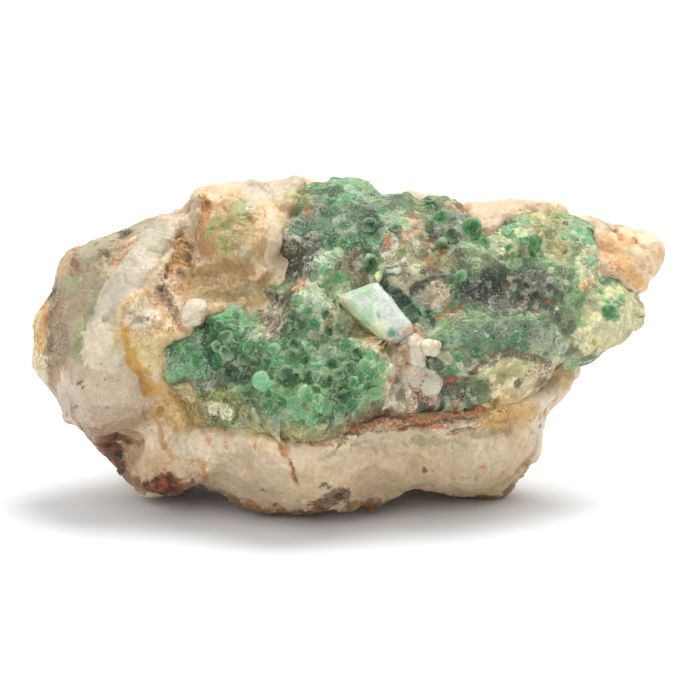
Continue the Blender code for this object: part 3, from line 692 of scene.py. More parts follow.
# How far the rock rises over its plain skin. It banks up beside the crust
def rockRise(mesh, points, normals, canvas):
    rise = facets(points, rock["facetSize"], rock["facetTilt"], 3) - rock["inset"]
    chips = np.full(len(points), rock["plainChips"])
    for _, share, softness, shapes in chipped:
        chips = np.maximum(chips, share * canvas.mask(shapes, softness))
    rise += chips * facets(points, rock["chipSize"], rock["chipTilt"], 4)
    addWaves(rise, points, rock["waves"], 1)
    rise += canvas.relief(rockRelief)
    toCrust, crustNormals = nearestOn(crustTree, points, rock["bankReach"])
    beside = smoothstep(-0.75, -0.3, dots(normals, crustNormals))
    bank = beside * (1.0 - smoothstep(0.3, rock["bankReach"], toCrust))
    return rise + rock["bank"] * blurred(mesh, bank, rock["bankRounds"])


def makeRock():
    mesh = rockSkin()
    points, normals = readMesh(mesh)
    points = pulled(points)
    canvas = Canvas(points, normals, rock["seed"], 1.0)
    rise = rockRise(mesh, points, normals, canvas)
    foot = smoothstep(0.0, rock["footHeight"], points[:, 2])
    colours = canvas.paint(rockGround(points), rockPaint) * rock["warmth"]
    colours = canvas.paint(colours, sharedPaint)
    specks = np.tile(rock["plainSpecks"], (len(points), 1))
    _, driftSize, driftSeed, *_ = rock["drifts"][-1]
    specks[:, 2] += rock["driftVeins"] * smoothstep(0.0, 0.5, noiseAt(points, driftSize, driftSeed))
    specks = canvas.paint(specks, rockSpecks + sharedSpecks, amounts)
    grit = canvas.strongest(rock["grit"], gritty, 0.6)
    points += normals * (rise * foot)[:, None]
    points[:, 2] = np.maximum(points[:, 2], 0.0)
    return finished("rock_surface", mesh, points, colours, specks, grit)


# Crust
crust = {
    "skinSize": 0.165,
    "softenRounds": 8,
    "seed": 31,
    "skirtReach": 1.1,
    "skirtDepth": 1.0,
    "slopeReach": 3.4,
    "slope": 0.55,
    "paleReach": 3.2,
    "closedBack": (640, 330, 45),
    "hiddenWithin": 0.6,
    "hiddenFacing": -0.25,
    "pepperGrit": 3.4,
    "inset": 0.2,
    "waves": [(2.6, 0.3), (1.2, 0.14)],
    "green": (128, 162, 112),
    "drifts": [
        ((80, 120, 80), 3.5, 51, 0.0, 0.4, 1.0),
        ((176, 198, 146), 4.5, 53, 0.1, 0.45, 1.0),
        ((190, 180, 128), 3.8, 55, 0.3, 0.55, 1.0),
    ],
    "torn": 0.35,
    "warmth": (0.98, 0.90, 0.86),
    "plainSpecks": (0.06, 0.10, 0.05),
    "dome": 0.12,
    "fieldDome": 0.03,
    "cellTilt": 0.09,
    "seamWidth": 0.26,
    "fieldSeamWidth": 0.1,
    "seam": 0.25,
    "fieldSeam": 0.6,
    "fadeIntoRock": 0.75,
    "rimShare": 0.7,
    "ringShade": 0.2,
    "contact": (0.7, 1.3),
    "contactDepth": 0.12,
    "calmGrit": 0.5,
}

crustPaint = [
    ("crown", (100, 152, 108), 0.85, 0.5, [(342, 190, 36, 18)]),
    ("olive corner", (146, 150, 98), 0.8, 0.6, [(305, 192, 14, 14)]),
    ("grey at the crown", (118, 140, 112), 0.7, 0.6, [(385, 205, 34, 12, -10)]),
    ("dark middle", (72, 104, 82), 0.85, 0.5, [(335, 226, 44, 18)]),
    ("whitish flakes", (158, 172, 152), 0.7, 0.6, [(346, 226, 12, 10), (395, 232, 12, 8)]),
    ("teal dark", (46, 86, 66), 0.85, 0.5, [(371, 226, 13, 12)]),
    ("green below", (74, 126, 86), 0.8, 0.5, [(346, 246, 24, 12), (378, 246, 16, 12)]),
    ("black pocket", (58, 60, 52), 0.95, 0.4, [
        (296, 256, 22, 24), (287, 226, 9, 14), (286, 300, 12, 10, 30),
    ]),
    ("blackest", (38, 38, 34), 0.85, 0.5, [(311, 266, 9, 14, 20), (297, 268, 14, 6)]),
    ("grey in the pocket", (112, 112, 98), 0.6, 0.6, [(284, 234, 10, 16), (272, 268, 8, 10)]),
    ("sandy pocket", (198, 186, 158), 0.9, 0.45, [(272, 318, 14, 22, 20), (258, 296, 16, 12)]),
    ("dark in the sand", (86, 74, 60), 0.7, 0.6, [(270, 322, 7, 10, 30), (288, 305, 10, 8)]),
    ("rusty dots", (196, 108, 44), 0.8, 0.5, [
        (295, 288, 5, 5), (308, 284, 5, 6), (306, 209, 3, 3), (282, 244, 4, 5),
        (386, 248, 4, 6, 20), (348, 268, 4, 3),
    ]),
    ("ridge", (172, 194, 160), 0.85, 0.45, [(ridgeLine, 15)]),
    # Painted highlight on the ridge's top-left, and a pale spot on its top
    ("ridge's painted highlight", (186, 206, 184), 0.8, 0.5, [(311, 303, 9, 9), (322, 262, 8, 10)]),
    ("ridge's foot", (82, 108, 78), 0.8, 0.5, [(300, 328, 22, 14, 20)]),
    ("brown beside the ridge", (140, 126, 96), 0.8, 0.5, [(356, 266, 16, 14), (370, 280, 20, 6)]),
    ("head", (88, 156, 106), 0.9, 0.4, [(234, 316, 26, 20)]),
    ("left lobe", (110, 164, 120), 0.9, 0.45, [(196, 358, 34, 30)]),
    ("left lobe's dusty edge", (122, 150, 122), 0.7, 0.6, [(172, 352, 12, 22), (200, 340, 14, 8)]),
    ("deep middle", (0, 78, 34), 1.0, 0.5, [(228, 348, 22, 26)]),
    ("dark foot of the left lobe", (78, 84, 64), 0.8, 0.5, [
        (192, 386, 24, 8, 10), (226, 380, 16, 8), (240, 368, 12, 10),
    ]),
    ("yellow foot", (124, 132, 62), 0.9, 0.4, [(222, 405, 42, 18)]),
    ("cream crystals", (222, 222, 186), 0.8, 0.5, [(215, 405, 13, 5), (228, 410, 7, 4)]),
    ("olive", (142, 150, 104), 0.7, 0.5, [(258, 410, 20, 14)]),
    ("grain field", (108, 148, 98), 0.85, 0.4, [(318, 368, 74, 32, -4)]),
    ("lowest lobe", (76, 116, 58), 0.9, 0.4, [(316, 402, 46, 28)]),
    ("lowest lobe's foot", (160, 146, 94), 0.85, 0.5, [([(268, 424), (300, 434), (340, 428)], 8)]),
    ("dark behind the lobe", (108, 116, 84), 0.8, 0.5, [(368, 412, 24, 9, 15)]),
    ("lemon edge", (188, 196, 132), 0.7, 0.5, [([(386, 366), (389, 382)], 5)]),
    ("knobs' ground", (214, 200, 174), 0.85, 0.5, [(406, 396, 24, 18), (406, 366, 20, 24)]),
    ("brown by the pale crystal", (156, 128, 88), 0.8, 0.5, [(385, 345, 12, 10), (335, 318, 14, 6, 30)]),
    ("cream spot", (206, 192, 164), 0.8, 0.5, [(322, 335, 12, 7), (336, 308, 8, 6)]),
    ("saddle", (184, 178, 140), 0.9, 0.45, [(408, 256, 26, 20), (432, 262, 16, 18)]),
    ("saddle's light", (222, 218, 190), 0.7, 0.6, [(392, 256, 12, 12), (418, 246, 8, 6)]),
    ("saddle's orange", (214, 150, 88), 0.7, 0.6, [
        (386, 244, 4, 8), (406, 238, 5, 4), (428, 240, 5, 4), (430, 264, 5, 8),
    ]),
    ("brown below the saddle", (184, 174, 146), 0.85, 0.5, [(404, 284, 22, 12)]),
    ("black cleft", (50, 52, 44), 0.9, 0.5, [([(414, 292), (424, 283), (446, 280)], 5)]),
    ("cream right of it", (206, 194, 168), 0.85, 0.5, [(434, 296, 16, 12), (424, 326, 10, 8)]),
    ("upper knob", (138, 160, 114), 0.85, 0.5, [(432, 202, 24, 12)]),
    ("its brown", (110, 72, 48), 0.7, 0.6, [(424, 198, 6, 3, 10), (433, 207, 3, 3)]),
    ("tan below", (194, 162, 124), 0.85, 0.5, [(416, 224, 8, 14, 20), (452, 205, 10, 8)]),
    ("dark right of the saddle", (104, 106, 88), 0.85, 0.5, [(448, 232, 18, 22)]),
    ("black-brown", (68, 54, 48), 0.8, 0.6, [(461, 217, 7, 5), (430, 272, 10, 6)]),
    ("rusty bits", (214, 122, 50), 0.55, 0.5, [
        (430, 241, 3, 4), (447, 243, 4, 3), (430, 306, 4, 4), (448, 312, 9, 3),
        (459, 308, 4, 4), (438, 318, 6, 2), (467, 377, 6, 5, 20), (476, 372, 5, 2, 20),
    ]),
    ("green right of it", (140, 162, 122), 0.85, 0.5, [(482, 256, 26, 22)]),
    ("right crown", (198, 208, 160), 0.9, 0.4, [(528, 232, 44, 24)]),
    ("olive-yellow", (182, 178, 122), 0.8, 0.5, [(546, 220, 16, 18), (560, 250, 12, 14)]),
    ("mint shoulder", (160, 194, 156), 0.85, 0.45, [(584, 232, 17, 20)]),
    ("right column", (220, 230, 190), 0.85, 0.5, [(594, 262, 18, 22)]),
    ("orange bloom", (222, 178, 128), 0.75, 0.5, [(588, 284, 9, 8)]),
    ("dark spots", (96, 52, 32), 0.85, 0.4, [(563, 250, 3, 3), (565, 222, 3, 2), (588, 290, 3, 3)]),
    ("valley", (56, 64, 58), 0.9, 0.4, [(512, 290, 56, 24)]),
    ("darkest valley", (58, 66, 64), 0.8, 0.5, [(488, 292, 20, 11), (528, 298, 14, 8)]),
    ("grey in the valley", (118, 122, 108), 0.7, 0.5, [(545, 288, 14, 9), (508, 304, 10, 5)]),
    ("valley's rust", (176, 88, 42), 0.75, 0.5, [
        (504, 287, 3, 2), (545, 302, 4, 2), (522, 304, 3, 2), (536, 310, 3, 2),
    ]),
    ("grey-green below", (108, 128, 106), 0.85, 0.5, [(506, 330, 52, 12)]),
    ("green below", (88, 128, 98), 0.8, 0.5, [(474, 346, 30, 13), (515, 340, 14, 10)]),
    ("dark near the lobe", (100, 104, 84), 0.7, 0.6, [(560, 322, 14, 12), (566, 348, 6, 14)]),
    ("yellow-green lobe", (216, 216, 170), 0.95, 0.35, [(618, 322, 36, 34), (592, 338, 20, 16)]),
    ("lobe's upper part", (192, 198, 150), 0.85, 0.5, [(606, 296, 22, 14)]),
    ("lobe's tan foot", (188, 178, 122), 0.7, 0.6, [([(580, 356), (612, 346), (640, 328)], 6)]),
    ("lobe's bright spot", (104, 170, 92), 0.85, 0.4, [(608, 311, 8, 8), (616, 316, 5, 5)]),
    ("spots on the lobe", (150, 100, 60), 0.6, 0.5, [(622, 304, 3, 3), (590, 342, 4, 2)]),
    ("middle right", (164, 172, 144), 0.85, 0.5, [(548, 342, 22, 12)]),
    ("green lump", (158, 166, 134), 0.9, 0.45, [(452, 362, 22, 18)]),
    ("lump's dark edge", (70, 84, 60), 0.8, 0.5, [([(434, 350), (440, 372), (446, 382)], 4)]),
    ("brown crease", (104, 86, 56), 0.9, 0.4, [([(470, 374), (486, 360), (508, 352), (548, 366)], 4.5)]),
    ("yellow lump", (220, 208, 166), 0.95, 0.35, [(506, 378, 28, 20, -10)]),
    ("lump's soft green", (180, 184, 124), 0.7, 0.5, [(520, 372, 12, 8), (496, 372, 10, 6)]),
    ("sandy foot", (214, 186, 130), 0.85, 0.5, [(512, 400, 26, 12)]),
    ("speckled grey", (204, 184, 148), 0.9, 0.4, [(548, 374, 22, 12)]),
    ("dark bits", (66, 60, 54), 0.8, 0.5, [
        (516, 383, 3, 3), (548, 378, 8, 4), (561, 372, 3, 7), (545, 355, 4, 2),
        (490, 364, 5, 3, 30), (550, 388, 4, 3), (584, 362, 12, 3, 20),
    ]),
    ("grey-green by the seam", (110, 122, 86), 0.85, 0.5, [(474, 392, 20, 14), (420, 424, 24, 6)]),
    ("dark by the seam", (92, 86, 76), 0.9, 0.45, [(444, 392, 24, 12), (430, 404, 16, 8)]),
    ("ember", (166, 78, 32), 0.85, 0.5, [(429, 397, 8, 8), (450, 379, 8, 3), (390, 378, 3, 4)]),
    ("dark side facet", (52, 92, 66), 1.0, 0.2, [([(384, 284), (398, 300), (428, 322)], 6.5)]),
    ("facet's edge", (30, 56, 42), 0.9, 0.3, [([(388, 283), (404, 300), (432, 320)], 1.8)]),
    ("flat crystal's outline", (52, 92, 66), 0.9, 0.3, [([(388, 272), (400, 270)], 5.5)]),
    ("flat crystal", (206, 222, 206), 0.95, 0.25, [([(389, 272), (398, 270.5)], 3)]),
    ("left of the pale block", (216, 218, 176), 0.85, 0.4, [(350, 314, 12, 12), (372, 342, 14, 5, 30)]),
    ("tan below the pale block", (196, 164, 112), 0.75, 0.5, [([(352, 330), (376, 346), (388, 356)], 4)]),
]

# Amounts of dark specks, of pale specks that are partly white grains and partly painted glints, and of rusty
# veins
crustSpecks = [
    ("sugary top", (0.12, 0.22, 0.1), 1.0, 0.5, [(350, 222, 60, 36)]),
    ("pocket", (0.45, 0.25, 0.2), 1.0, 0.5, [(290, 258, 30, 44), (272, 318, 20, 26)]),
    ("left lobe", (0.10, 0.30, 0.0), 0.9, 0.5, [(200, 358, 44, 36), (236, 316, 26, 22)]),
    ("yellow foot", (0.10, 0.25, 0.05), 0.9, 0.5, [(222, 402, 44, 20)]),
    ("field", (0.04, 0.12, 0.0), 0.9, 0.5, [(320, 380, 76, 44)]),
    ("saddle", (0.12, 0.2, 0.3), 0.9, 0.5, [(424, 256, 40, 40), (440, 312, 24, 14)]),
    ("valley", (0.4, 0.18, 0.2), 1.0, 0.5, [(512, 292, 62, 28)]),
    ("right", (0.05, 0.15, 0.05), 0.8, 0.5, [(570, 250, 60, 50)]),
    ("lobe", (0.02, 0.12, 0.03), 1.0, 0.4, [(616, 320, 40, 36), (508, 380, 26, 18)]),
    ("seam", (0.5, 0.08, 0.45), 1.0, 0.4, [([(336, 434), (366, 418), (440, 416), (490, 406)], 12)]),
    ("by the seam", (0.4, 0.2, 0.4), 1.0, 0.5, [(442, 396, 34, 16), (552, 374, 26, 14)]),
]

# Where the crust's grains are large enough to be told apart
grainField = [(316, 368, 76, 34, -4), (316, 402, 44, 28), (234, 345, 26, 26), (330, 290, 24, 36, 10)]

# Where the crust fades into the rock instead of ending sharply
softEdges = [
    ([(160, 385), (182, 418), (215, 432), (262, 436), (300, 444), (345, 440)], 18),
    ([(470, 430), (520, 408), (560, 388)], 16), ([(258, 296), (262, 330)], 12),
    ([(160, 318), (158, 345), (164, 385)], 13), ([(302, 184), (292, 200), (288, 226)], 9),
    ([(566, 392), (584, 366), (612, 352)], 7),
]

# Smoother parts of the crust, with less difference from cell to cell
calmCrust = [
    (618, 322, 42, 38), (506, 380, 30, 20, -10), (570, 245, 44, 44), (506, 335, 54, 22),
    (ridgeLine, 15), (196, 358, 40, 34),
]

# Deep green places, where the grains have grown together without pale seams
deepCrust = [(228, 346, 24, 28), (371, 226, 13, 12), (351, 387, 12, 14), (290, 374, 10, 12)]

# Places of fine light and dark grit
sugaryPlaces = [
    ("left lobe", 2.0, [(196, 358, 38, 34), (234, 316, 24, 18)]),
    ("crown", 1.5, [(350, 205, 60, 30)]),
    ("right crown", 1.6, [(545, 232, 56, 28), (590, 268, 20, 34)]),
    ("yellow foot", 1.8, [(222, 404, 42, 18)]),
    ("below the valley", 1.4, [(506, 332, 56, 20)]),
    ("lowest lobe", 1.3, [(316, 402, 46, 28)]),
]

# Share of the crust's grains that are mixed pepper and salt
pepperPlaces = [
    ("pocket", 0.6, [(296, 256, 26, 34), (290, 226, 12, 18)]),
    ("sand", 0.85, [(272, 316, 18, 26, 20), (290, 298, 16, 12), (262, 294, 12, 10)]),
    ("saddle", 0.45, [(418, 256, 36, 24), (442, 300, 20, 12), (440, 312, 24, 10)]),
    ("valley", 0.5, [(512, 290, 54, 22)]),
    ("by the seam", 0.7, [(440, 396, 34, 14), (372, 412, 26, 8, 10), (552, 374, 26, 12)]),
    ("below the left lobe", 0.6, [(196, 386, 28, 8, 8), (236, 370, 16, 10)]),
    ("beside the ridge", 0.5, [(350, 262, 14, 16), (350, 335, 20, 10, 30)]),
]


# Grains
grains = {
    "seed": 5,
    "kinds": 28,
    "stand": 0.16,
    "tilt": 0.15,
    "spacing": 0.80,
    "tries": 90000,
    "boxes": 2.6,
    "plain": 0.38,
    "spread": 0.25,
    "smallest": 0.2,
    "namedSize": 1.12,
    "namedSpacing": 0.6,
    "namedOwn": 0.85,
    "fieldScatter": 0.8,
    "scatter": 0.04,
    "shadeSpread": 0.36,
    "shadeLimits": (-0.6, 0.3),
    "calm": 0.6,
    "hazeChance": 0.12,
    "fieldHaze": 0.18,
    "hazeShare": 0.3,
    "greenBelow": 0.5,
    "greenShare": 0.45,
    "darkFrom": 0.86,
    "darkShade": 0.4,
    "darkShare": 0.7,
    "pepperShare": 0.4,
    "simpleBelow": 0.4,
    "sunk": 0.62,
    "rimShare": 0.6,
    "sideShade": 0.28,
    "sharpAngle": 22,
    "fromRock": 0.35,
    "fromPale": 0.5,
    "fromBorder": 0.8,
    "rim": (178, 202, 156),
    "haze": (200, 214, 190),
    "pepper": [
        (56, 50, 44), (76, 70, 60), (232, 226, 210), (200, 192, 170), (136, 110, 80), (116, 120, 98),
        (166, 152, 124), (214, 206, 184),
    ],
}

grainColours = {
    "deep": (6, 84, 40),
    "dark": (34, 78, 46),
    "mid": (50, 124, 68),
    "bright": (100, 168, 110),
    "mint": (112, 200, 146),
    "olive": (134, 148, 80),
}

# Grains that can be told apart on the photograph: x, y and half-width in pixels, and colour
namedGrains = [
    (228, 337, 8, "deep"), (231, 352, 8, "deep"), (250, 346, 8, "mid"), (263, 347, 6, "mid"),
    (276, 348, 6, "bright"), (286, 343, 6, "mid"), (297, 345, 8, "deep"), (310, 344, 6, "mid"),
    (257, 361, 6, "dark"), (245, 360, 6, "dark"), (269, 364, 7, "mid"), (282, 361, 7, "bright"),
    (289, 375, 10, "deep"), (299, 364, 7, "mid"), (309, 375, 7, "deep"), (317, 364, 6, "bright"),
    (307, 358, 5, "mid"), (263, 382, 9, "mint"), (273, 374, 5, "deep"), (246, 378, 6, "dark"),
    (235, 372, 7, "dark"), (247, 395, 6, "dark"), (256, 400, 5, "deep"), (269, 403, 6, "mid"),
    (332, 362, 7, "deep"), (327, 379, 8, "deep"), (339, 374, 7, "deep"), (344, 395, 8, "deep"),
    (352, 382, 7, "mid"), (342, 357, 5, "mid"), (356, 353, 7, "deep"), (344, 344, 7, "mid"),
    (365, 365, 6, "bright"), (352, 367, 6, "deep"), (373, 374, 6, "mid"), (366, 386, 7, "mid"),
    (377, 394, 7, "bright"), (370, 355, 5, "bright"), (360, 375, 5, "mid"), (380, 366, 6, "bright"),
    # The bright grains at (309, 393) and (326, 404) stand for painted highlights on the grain field
    (309, 393, 8, "bright"), (319, 396, 5, "bright"), (326, 404, 8, "bright"), (321, 411, 5, "deep"),
    (341, 409, 6, "mid"), (352, 404, 6, "mid"), (296, 400, 7, "bright"), (290, 391, 6, "bright"),
    (300, 412, 6, "bright"), (283, 401, 6, "mid"), (312, 415, 6, "bright"), (271, 393, 6, "mid"),
    (326, 272, 6, "bright"), (325, 287, 5, "mid"), (309, 312, 5, "mid"), (327, 314, 5, "deep"),
    (316, 325, 6, "mid"), (300, 325, 6, "dark"), (291, 316, 6, "dark"), (331, 330, 5, "deep"),
    (347, 312, 5, "deep"), (286, 328, 6, "dark"), (298, 301, 6, "mid"), (340, 278, 6, "bright"),
    (369, 225, 8, "dark"), (371, 265, 8, "deep"), (395, 228, 7, "dark"), (385, 211, 6, "mid"),
    (440, 218, 8, "mid"), (471, 229, 9, "mid"), (448, 236, 8, "dark"), (440, 247, 7, "deep"),
    (429, 206, 5, "mid"), (437, 207, 5, "deep"), (430, 198, 5, "mid"), (402, 206, 6, "mid"),
    (425, 311, 7, "dark"), (459, 278, 6, "mid"), (455, 293, 6, "dark"), (400, 254, 5, "olive"),
    (484, 241, 6, "mid"), (391, 334, 6, "mid"), (510, 232, 6, "bright"), (534, 243, 8, "mid"),
    (555, 213, 7, "olive"), (566, 213, 5, "olive"), (582, 230, 7, "bright"), (591, 228, 6, "bright"),
    (608, 312, 8, "mid"), (600, 291, 4, "bright"), (622, 298, 4, "bright"), (618, 281, 5, "mint"),
    (177, 346, 7, "mid"), (190, 350, 7, "mid"), (201, 362, 7, "mid"), (213, 350, 7, "deep"),
    (220, 363, 6, "mid"), (240, 330, 6, "mid"), (227, 315, 7, "bright"), (239, 308, 6, "mid"),
    (222, 305, 6, "mid"), (248, 321, 6, "bright"), (345, 226, 5, "mid"), (330, 245, 6, "deep"),
    (345, 243, 7, "mid"), (360, 242, 6, "deep"), (352, 195, 6, "bright"), (330, 200, 6, "mid"),
    (322, 184, 5, "bright"), (340, 183, 6, "bright"), (455, 356, 6, "mid"), (450, 370, 6, "mid"),
    (515, 336, 6, "mid"), (488, 336, 5, "deep"), (474, 352, 5, "deep"), (531, 254, 4, "mid"),
    (508, 247, 4, "mid"), (521, 241, 5, "bright"), (498, 228, 5, "bright"), (550, 264, 4, "mid"),
    (589, 240, 5, "mint"), (597, 236, 4, "bright"), (576, 248, 5, "olive"), (563, 236, 4, "bright"),
    (601, 254, 4, "bright"), (592, 262, 5, "mint"), (606, 301, 4, "bright"), (616, 303, 4, "mid"),
    (527, 219, 4, "bright"), (517, 224, 4, "bright"), (541, 226, 4, "olive"), (573, 226, 5, "bright"),
]

# Half-widths in mm that grains have in each part of the crust
grainSizes = [
    (0.34, [(222, 404, 44, 20), (620, 322, 44, 40), (508, 385, 30, 24), (186, 362, 20, 26)]),
    (0.22, [(290, 258, 26, 40), (272, 320, 20, 24), (512, 292, 58, 26), (440, 400, 50, 18)]),
    (0.45, [(208, 350, 26, 26), (234, 318, 26, 22), (560, 235, 60, 34), (480, 345, 50, 22)]),
    (0.55, [(350, 210, 60, 30)]),
    (0.50, [(318, 366, 76, 32, -4)]), (0.44, [(316, 402, 44, 28)]),
]

# Parts of the crust without separate grains
bareCrust = [
    ([(338, 436), (362, 424), (400, 420), (440, 419), (486, 408)], 7), (374, 306, 34, 26),
    (415, 350, 24, 22), (412, 386, 20, 20), (512, 404, 28, 10),
]


# Even random places on a mesh, with their normals
def scatter(mesh, count, generator):
    mesh.calc_loop_triangles()
    corners = np.empty(len(mesh.loop_triangles) * 3, np.int32)
    mesh.loop_triangles.foreach_get("vertices", corners)
    corners = corners.reshape(-1, 3)
    points, normals = readMesh(mesh)
    a, b, c = (points[corners[:, k]] for k in range(3))
    area = np.linalg.norm(np.cross(b - a, c - a), axis=1)
    chosen = generator.choice(len(corners), size=count, p=area / area.sum())
    one, two = generator.random(count), generator.random(count)
    over = one + two > 1
    one[over], two[over] = 1 - one[over], 1 - two[over]
    shares = np.stack([1 - one - two, one, two])
    places = sum(shares[k][:, None] * points[corners[chosen, k]] for k in range(3))
    facing = sum(shares[k][:, None] * normals[corners[chosen, k]] for k in range(3))
    facing /= np.linalg.norm(facing, axis=1)[:, None]
    return places, facing


sides = (-1, 0, 1)


# Keeps the places that stand clear of those kept before them, in boxes of a width
class Spacer:
    def __init__(self, width):
        self.width = width
        self.held = {}

    def add(self, place, radius, spacing):
        key = tuple(math.floor(value / self.width) for value in place)
        near = ((key[0] + x, key[1] + y, key[2] + z) for x in sides for y in sides for z in sides)
        for beside in near:
            for other, wide in self.held.get(beside, ()):
                if math.dist(other, place) < spacing * (radius + wide):
                    return False
        self.held.setdefault(key, []).append((tuple(place), radius))
        return True


def plainCrust(canvas, points):
    ground = drifting(points, crust["green"], crust["drifts"])
    return canvas.paint(ground, crustPaint, torn=crust["torn"]) * crust["warmth"]


# What is known of each cell. Its colour goes from the base to the tint by its own share or salt
cellParts = ("place", "normal", "radius", "tint", "shade", "own", "salt", "base")


# Cells of the listed grains
def namedCells(tree, spacer):
    rows = []
    for px, py, halfWidth, colour in namedGrains:
        place, normal, _, _ = tree.ray_cast(Vector(fromPixels(px, py, 60.0) * unit), Vector(-outAxis))
        if place is None:
            continue
        radius = halfWidth * view["pixel"] * grains["namedSize"]
        place = np.array(place) / unit
        if spacer.add(place, radius, grains["namedSpacing"]):
            tint = linear(grainColours[colour])
            rows.append((place, np.array(normal), radius, tint, 1.0, grains["namedOwn"], 0.0, np.zeros(3)))
    return rows


# The crust's grains: the listed ones, then random ones in the room between them. Most keep the
# crust's colour, and the dice make some pepper or salt, hazy, green or dark
def grainCells(mesh):
    generator = np.random.default_rng(grains["seed"])
    spacer = Spacer(grains["boxes"])
    rows = namedCells(treeOf(mesh), spacer)
    count = grains["tries"]
    places, facing = scatter(mesh, count, generator)
    canvas = Canvas(places, facing, 61, 1.0)
    radii = np.full(count, grains["plain"])
    for size, shapes in grainSizes:
        radii = np.where(canvas.mask(shapes, 0.3) > 0.5, size, radii)
    radii = radii * np.exp(grains["spread"] * generator.normal(size=count))
    radii = np.maximum(radii, grains["smallest"])
    colours = plainCrust(canvas, places)
    field = canvas.mask(grainField, 0.3)
    pepper = canvas.strongest(0.0, pepperPlaces, 0.4)
    salts = [linear(colour) for colour in grains["pepper"]]
    calm = 1.0 - grains["calm"] * canvas.mask(calmCrust, 0.4)
    hazy = grains["hazeChance"] + grains["fieldHaze"] * field
    hazy = hazy * (1.0 - canvas.mask(deepCrust, 0.5))
    shade = grains["shadeSpread"] * calm * generator.normal(size=count)
    shade = np.exp(np.clip(shade, *grains["shadeLimits"]))
    dice = generator.random((count, 2))
    half = count // 2
    # The first half goes from large to small, so that large cells find room
    order = np.concatenate([np.argsort(-radii[:half]), np.arange(half, count)])
    for index in order:
        if not spacer.add(places[index], radii[index], grains["spacing"]):
            continue
        base = colours[index] * shade[index]
        tint, own, salt = base, 0.0, 0.0
        if dice[index, 0] < pepper[index]:
            tint, salt = salts[int(dice[index, 1] * len(salts))], grains["pepperShare"]
        elif dice[index, 1] < hazy[index]:
            tint, salt = linear(grains["haze"]), grains["hazeShare"] * calm[index]
        elif dice[index, 1] < grains["greenBelow"] and field[index] > 0.5:
            tint, own = linear(grainColours["mid"]), grains["greenShare"]
        elif dice[index, 1] > grains["darkFrom"]:
            tint, salt = colours[index] * grains["darkShade"], grains["darkShare"] * calm[index]
        rows.append((places[index], facing[index], radii[index], tint, shade[index], own, salt, base))
    cells = {part: np.array([row[number] for row in rows]) for number, part in enumerate(cellParts)}
    cells["named"] = cells["own"] == grains["namedOwn"]
    own = np.maximum(cells["own"], cells["salt"])[:, None]
    cells["colour"] = cells["base"] * (1 - own) + cells["tint"] * own
    cells["tilt"] = crust["cellTilt"] * generator.normal(size=(len(rows), 3))
    print("cells", len(rows))
    return cells


# For each point the cell it lies in, how far out it is there, and how far from the next cell
def cellsAt(points, cells):
    tree = placesTree(cells["place"])
    sizes = cells["radius"].tolist()
    nearest = np.zeros(len(points), int)
    ring = np.zeros(len(points))
    gap = np.zeros(len(points))
    for index, point in enumerate(points):
        rated = sorted((far / sizes[cell], cell) for _, cell, far in tree.find_n(Vector(point), 6))
        ring[index], nearest[index] = rated[0]
        gap[index] = rated[1][0] - rated[0][0]
    return nearest, ring, gap


# Takes the hidden points out of a mesh, and says which ones stay
def opened(mesh, hidden):
    bm = bmesh.new()
    bm.from_mesh(mesh)
    number = bm.verts.layers.int.new("number")
    for index, vert in enumerate(bm.verts):
        vert[number] = index
    inner = [vert for vert, hide in zip(bm.verts, hidden) if hide]
    bmesh.ops.delete(bm, geom=inner, context="VERTS")
    kept = np.array([vert[number] for vert in bm.verts])
    bm.to_mesh(mesh)
    bm.free()
    mesh.attributes.remove(mesh.attributes["number"])
    return kept


# The crust's skin, which goes along with the pale block and is open where it lies on the rock
def crustSkin():
    mesh = evenSkin("emerald_crust", "crust", crust["skinSize"], crust["softenRounds"])
    points, normals = readMesh(mesh)
    points = pulled(points)
    toBlock, _ = nearestOn(treeOf(nodes["pale_crystal"].data), points, crust["paleReach"])
    share = 1.0 - smoothstep(0.5, crust["paleReach"], toBlock)
    points += share[:, None] * (paleMoved(points) - points)
    toRock, rockNormals = nearestOn(rockTree, points, 5.0)
    hidden = toRock < crust["hiddenWithin"]
    hidden &= dots(normals, rockNormals) < crust["hiddenFacing"]
    across, down = toPixels(points)
    x, y, reach = crust["closedBack"]
    elsewhere = np.hypot(across - x, down - y) >= reach
    hidden &= elsewhere | (blurred(mesh, hidden, 5) > 0.97)
    kept = opened(mesh, hidden)
    writePoints(mesh, points[kept])
    skin = {"points": points, "normals": normals, "rockNormals": rockNormals}
    skin |= {"toRock": toRock, "toBlock": toBlock}
    return mesh, {part: values[kept] for part, values in skin.items()}


# Each grain with its own shade, pale seams between them, and soft edges onto the rock
def crustColours(canvas, skin, cells, spots, border):
    points, (nearest, ring, gap), field = skin["points"], spots, canvas.mask(grainField, 0.3)
    own, salt, shade = (cells[part][nearest][:, None] for part in ("own", "salt", "shade"))
    colours = canvas.paint(plainCrust(canvas, points), sharedPaint)
    colours = colours * shade * (1 - own) + cells["tint"][nearest] * own
    colours += (cells["tint"][nearest] - colours) * salt
    large = smoothstep(0.3, 0.6, cells["radius"][nearest])
    colours *= (1.0 - crust["ringShade"] * (1.0 - smoothstep(0.0, 0.9, ring)) * large)[:, None]
    seam = 1.0 - smoothstep(0.0, crust["seamWidth"] + crust["fieldSeamWidth"] * field, gap)
    seam *= (crust["seam"] + crust["fieldSeam"] * field) * (1.0 - 0.75 * canvas.mask(deepCrust, 0.5))
    seamColour = colours * (1 - crust["rimShare"]) + linear(grains["rim"]) * crust["rimShare"]
    colours += (seamColour - colours) * seam[:, None]
    edge = (1.0 - smoothstep(0.3, 1.4, border + 0.7 * canvas.rag)) * canvas.mask(softEdges, 0.4)
    beneath = canvas.paint(canvas.paint(rockGround(points), rockPaint) * rock["warmth"], sharedPaint)
    return colours + (beneath - colours) * crust["fadeIntoRock"] * edge[:, None]


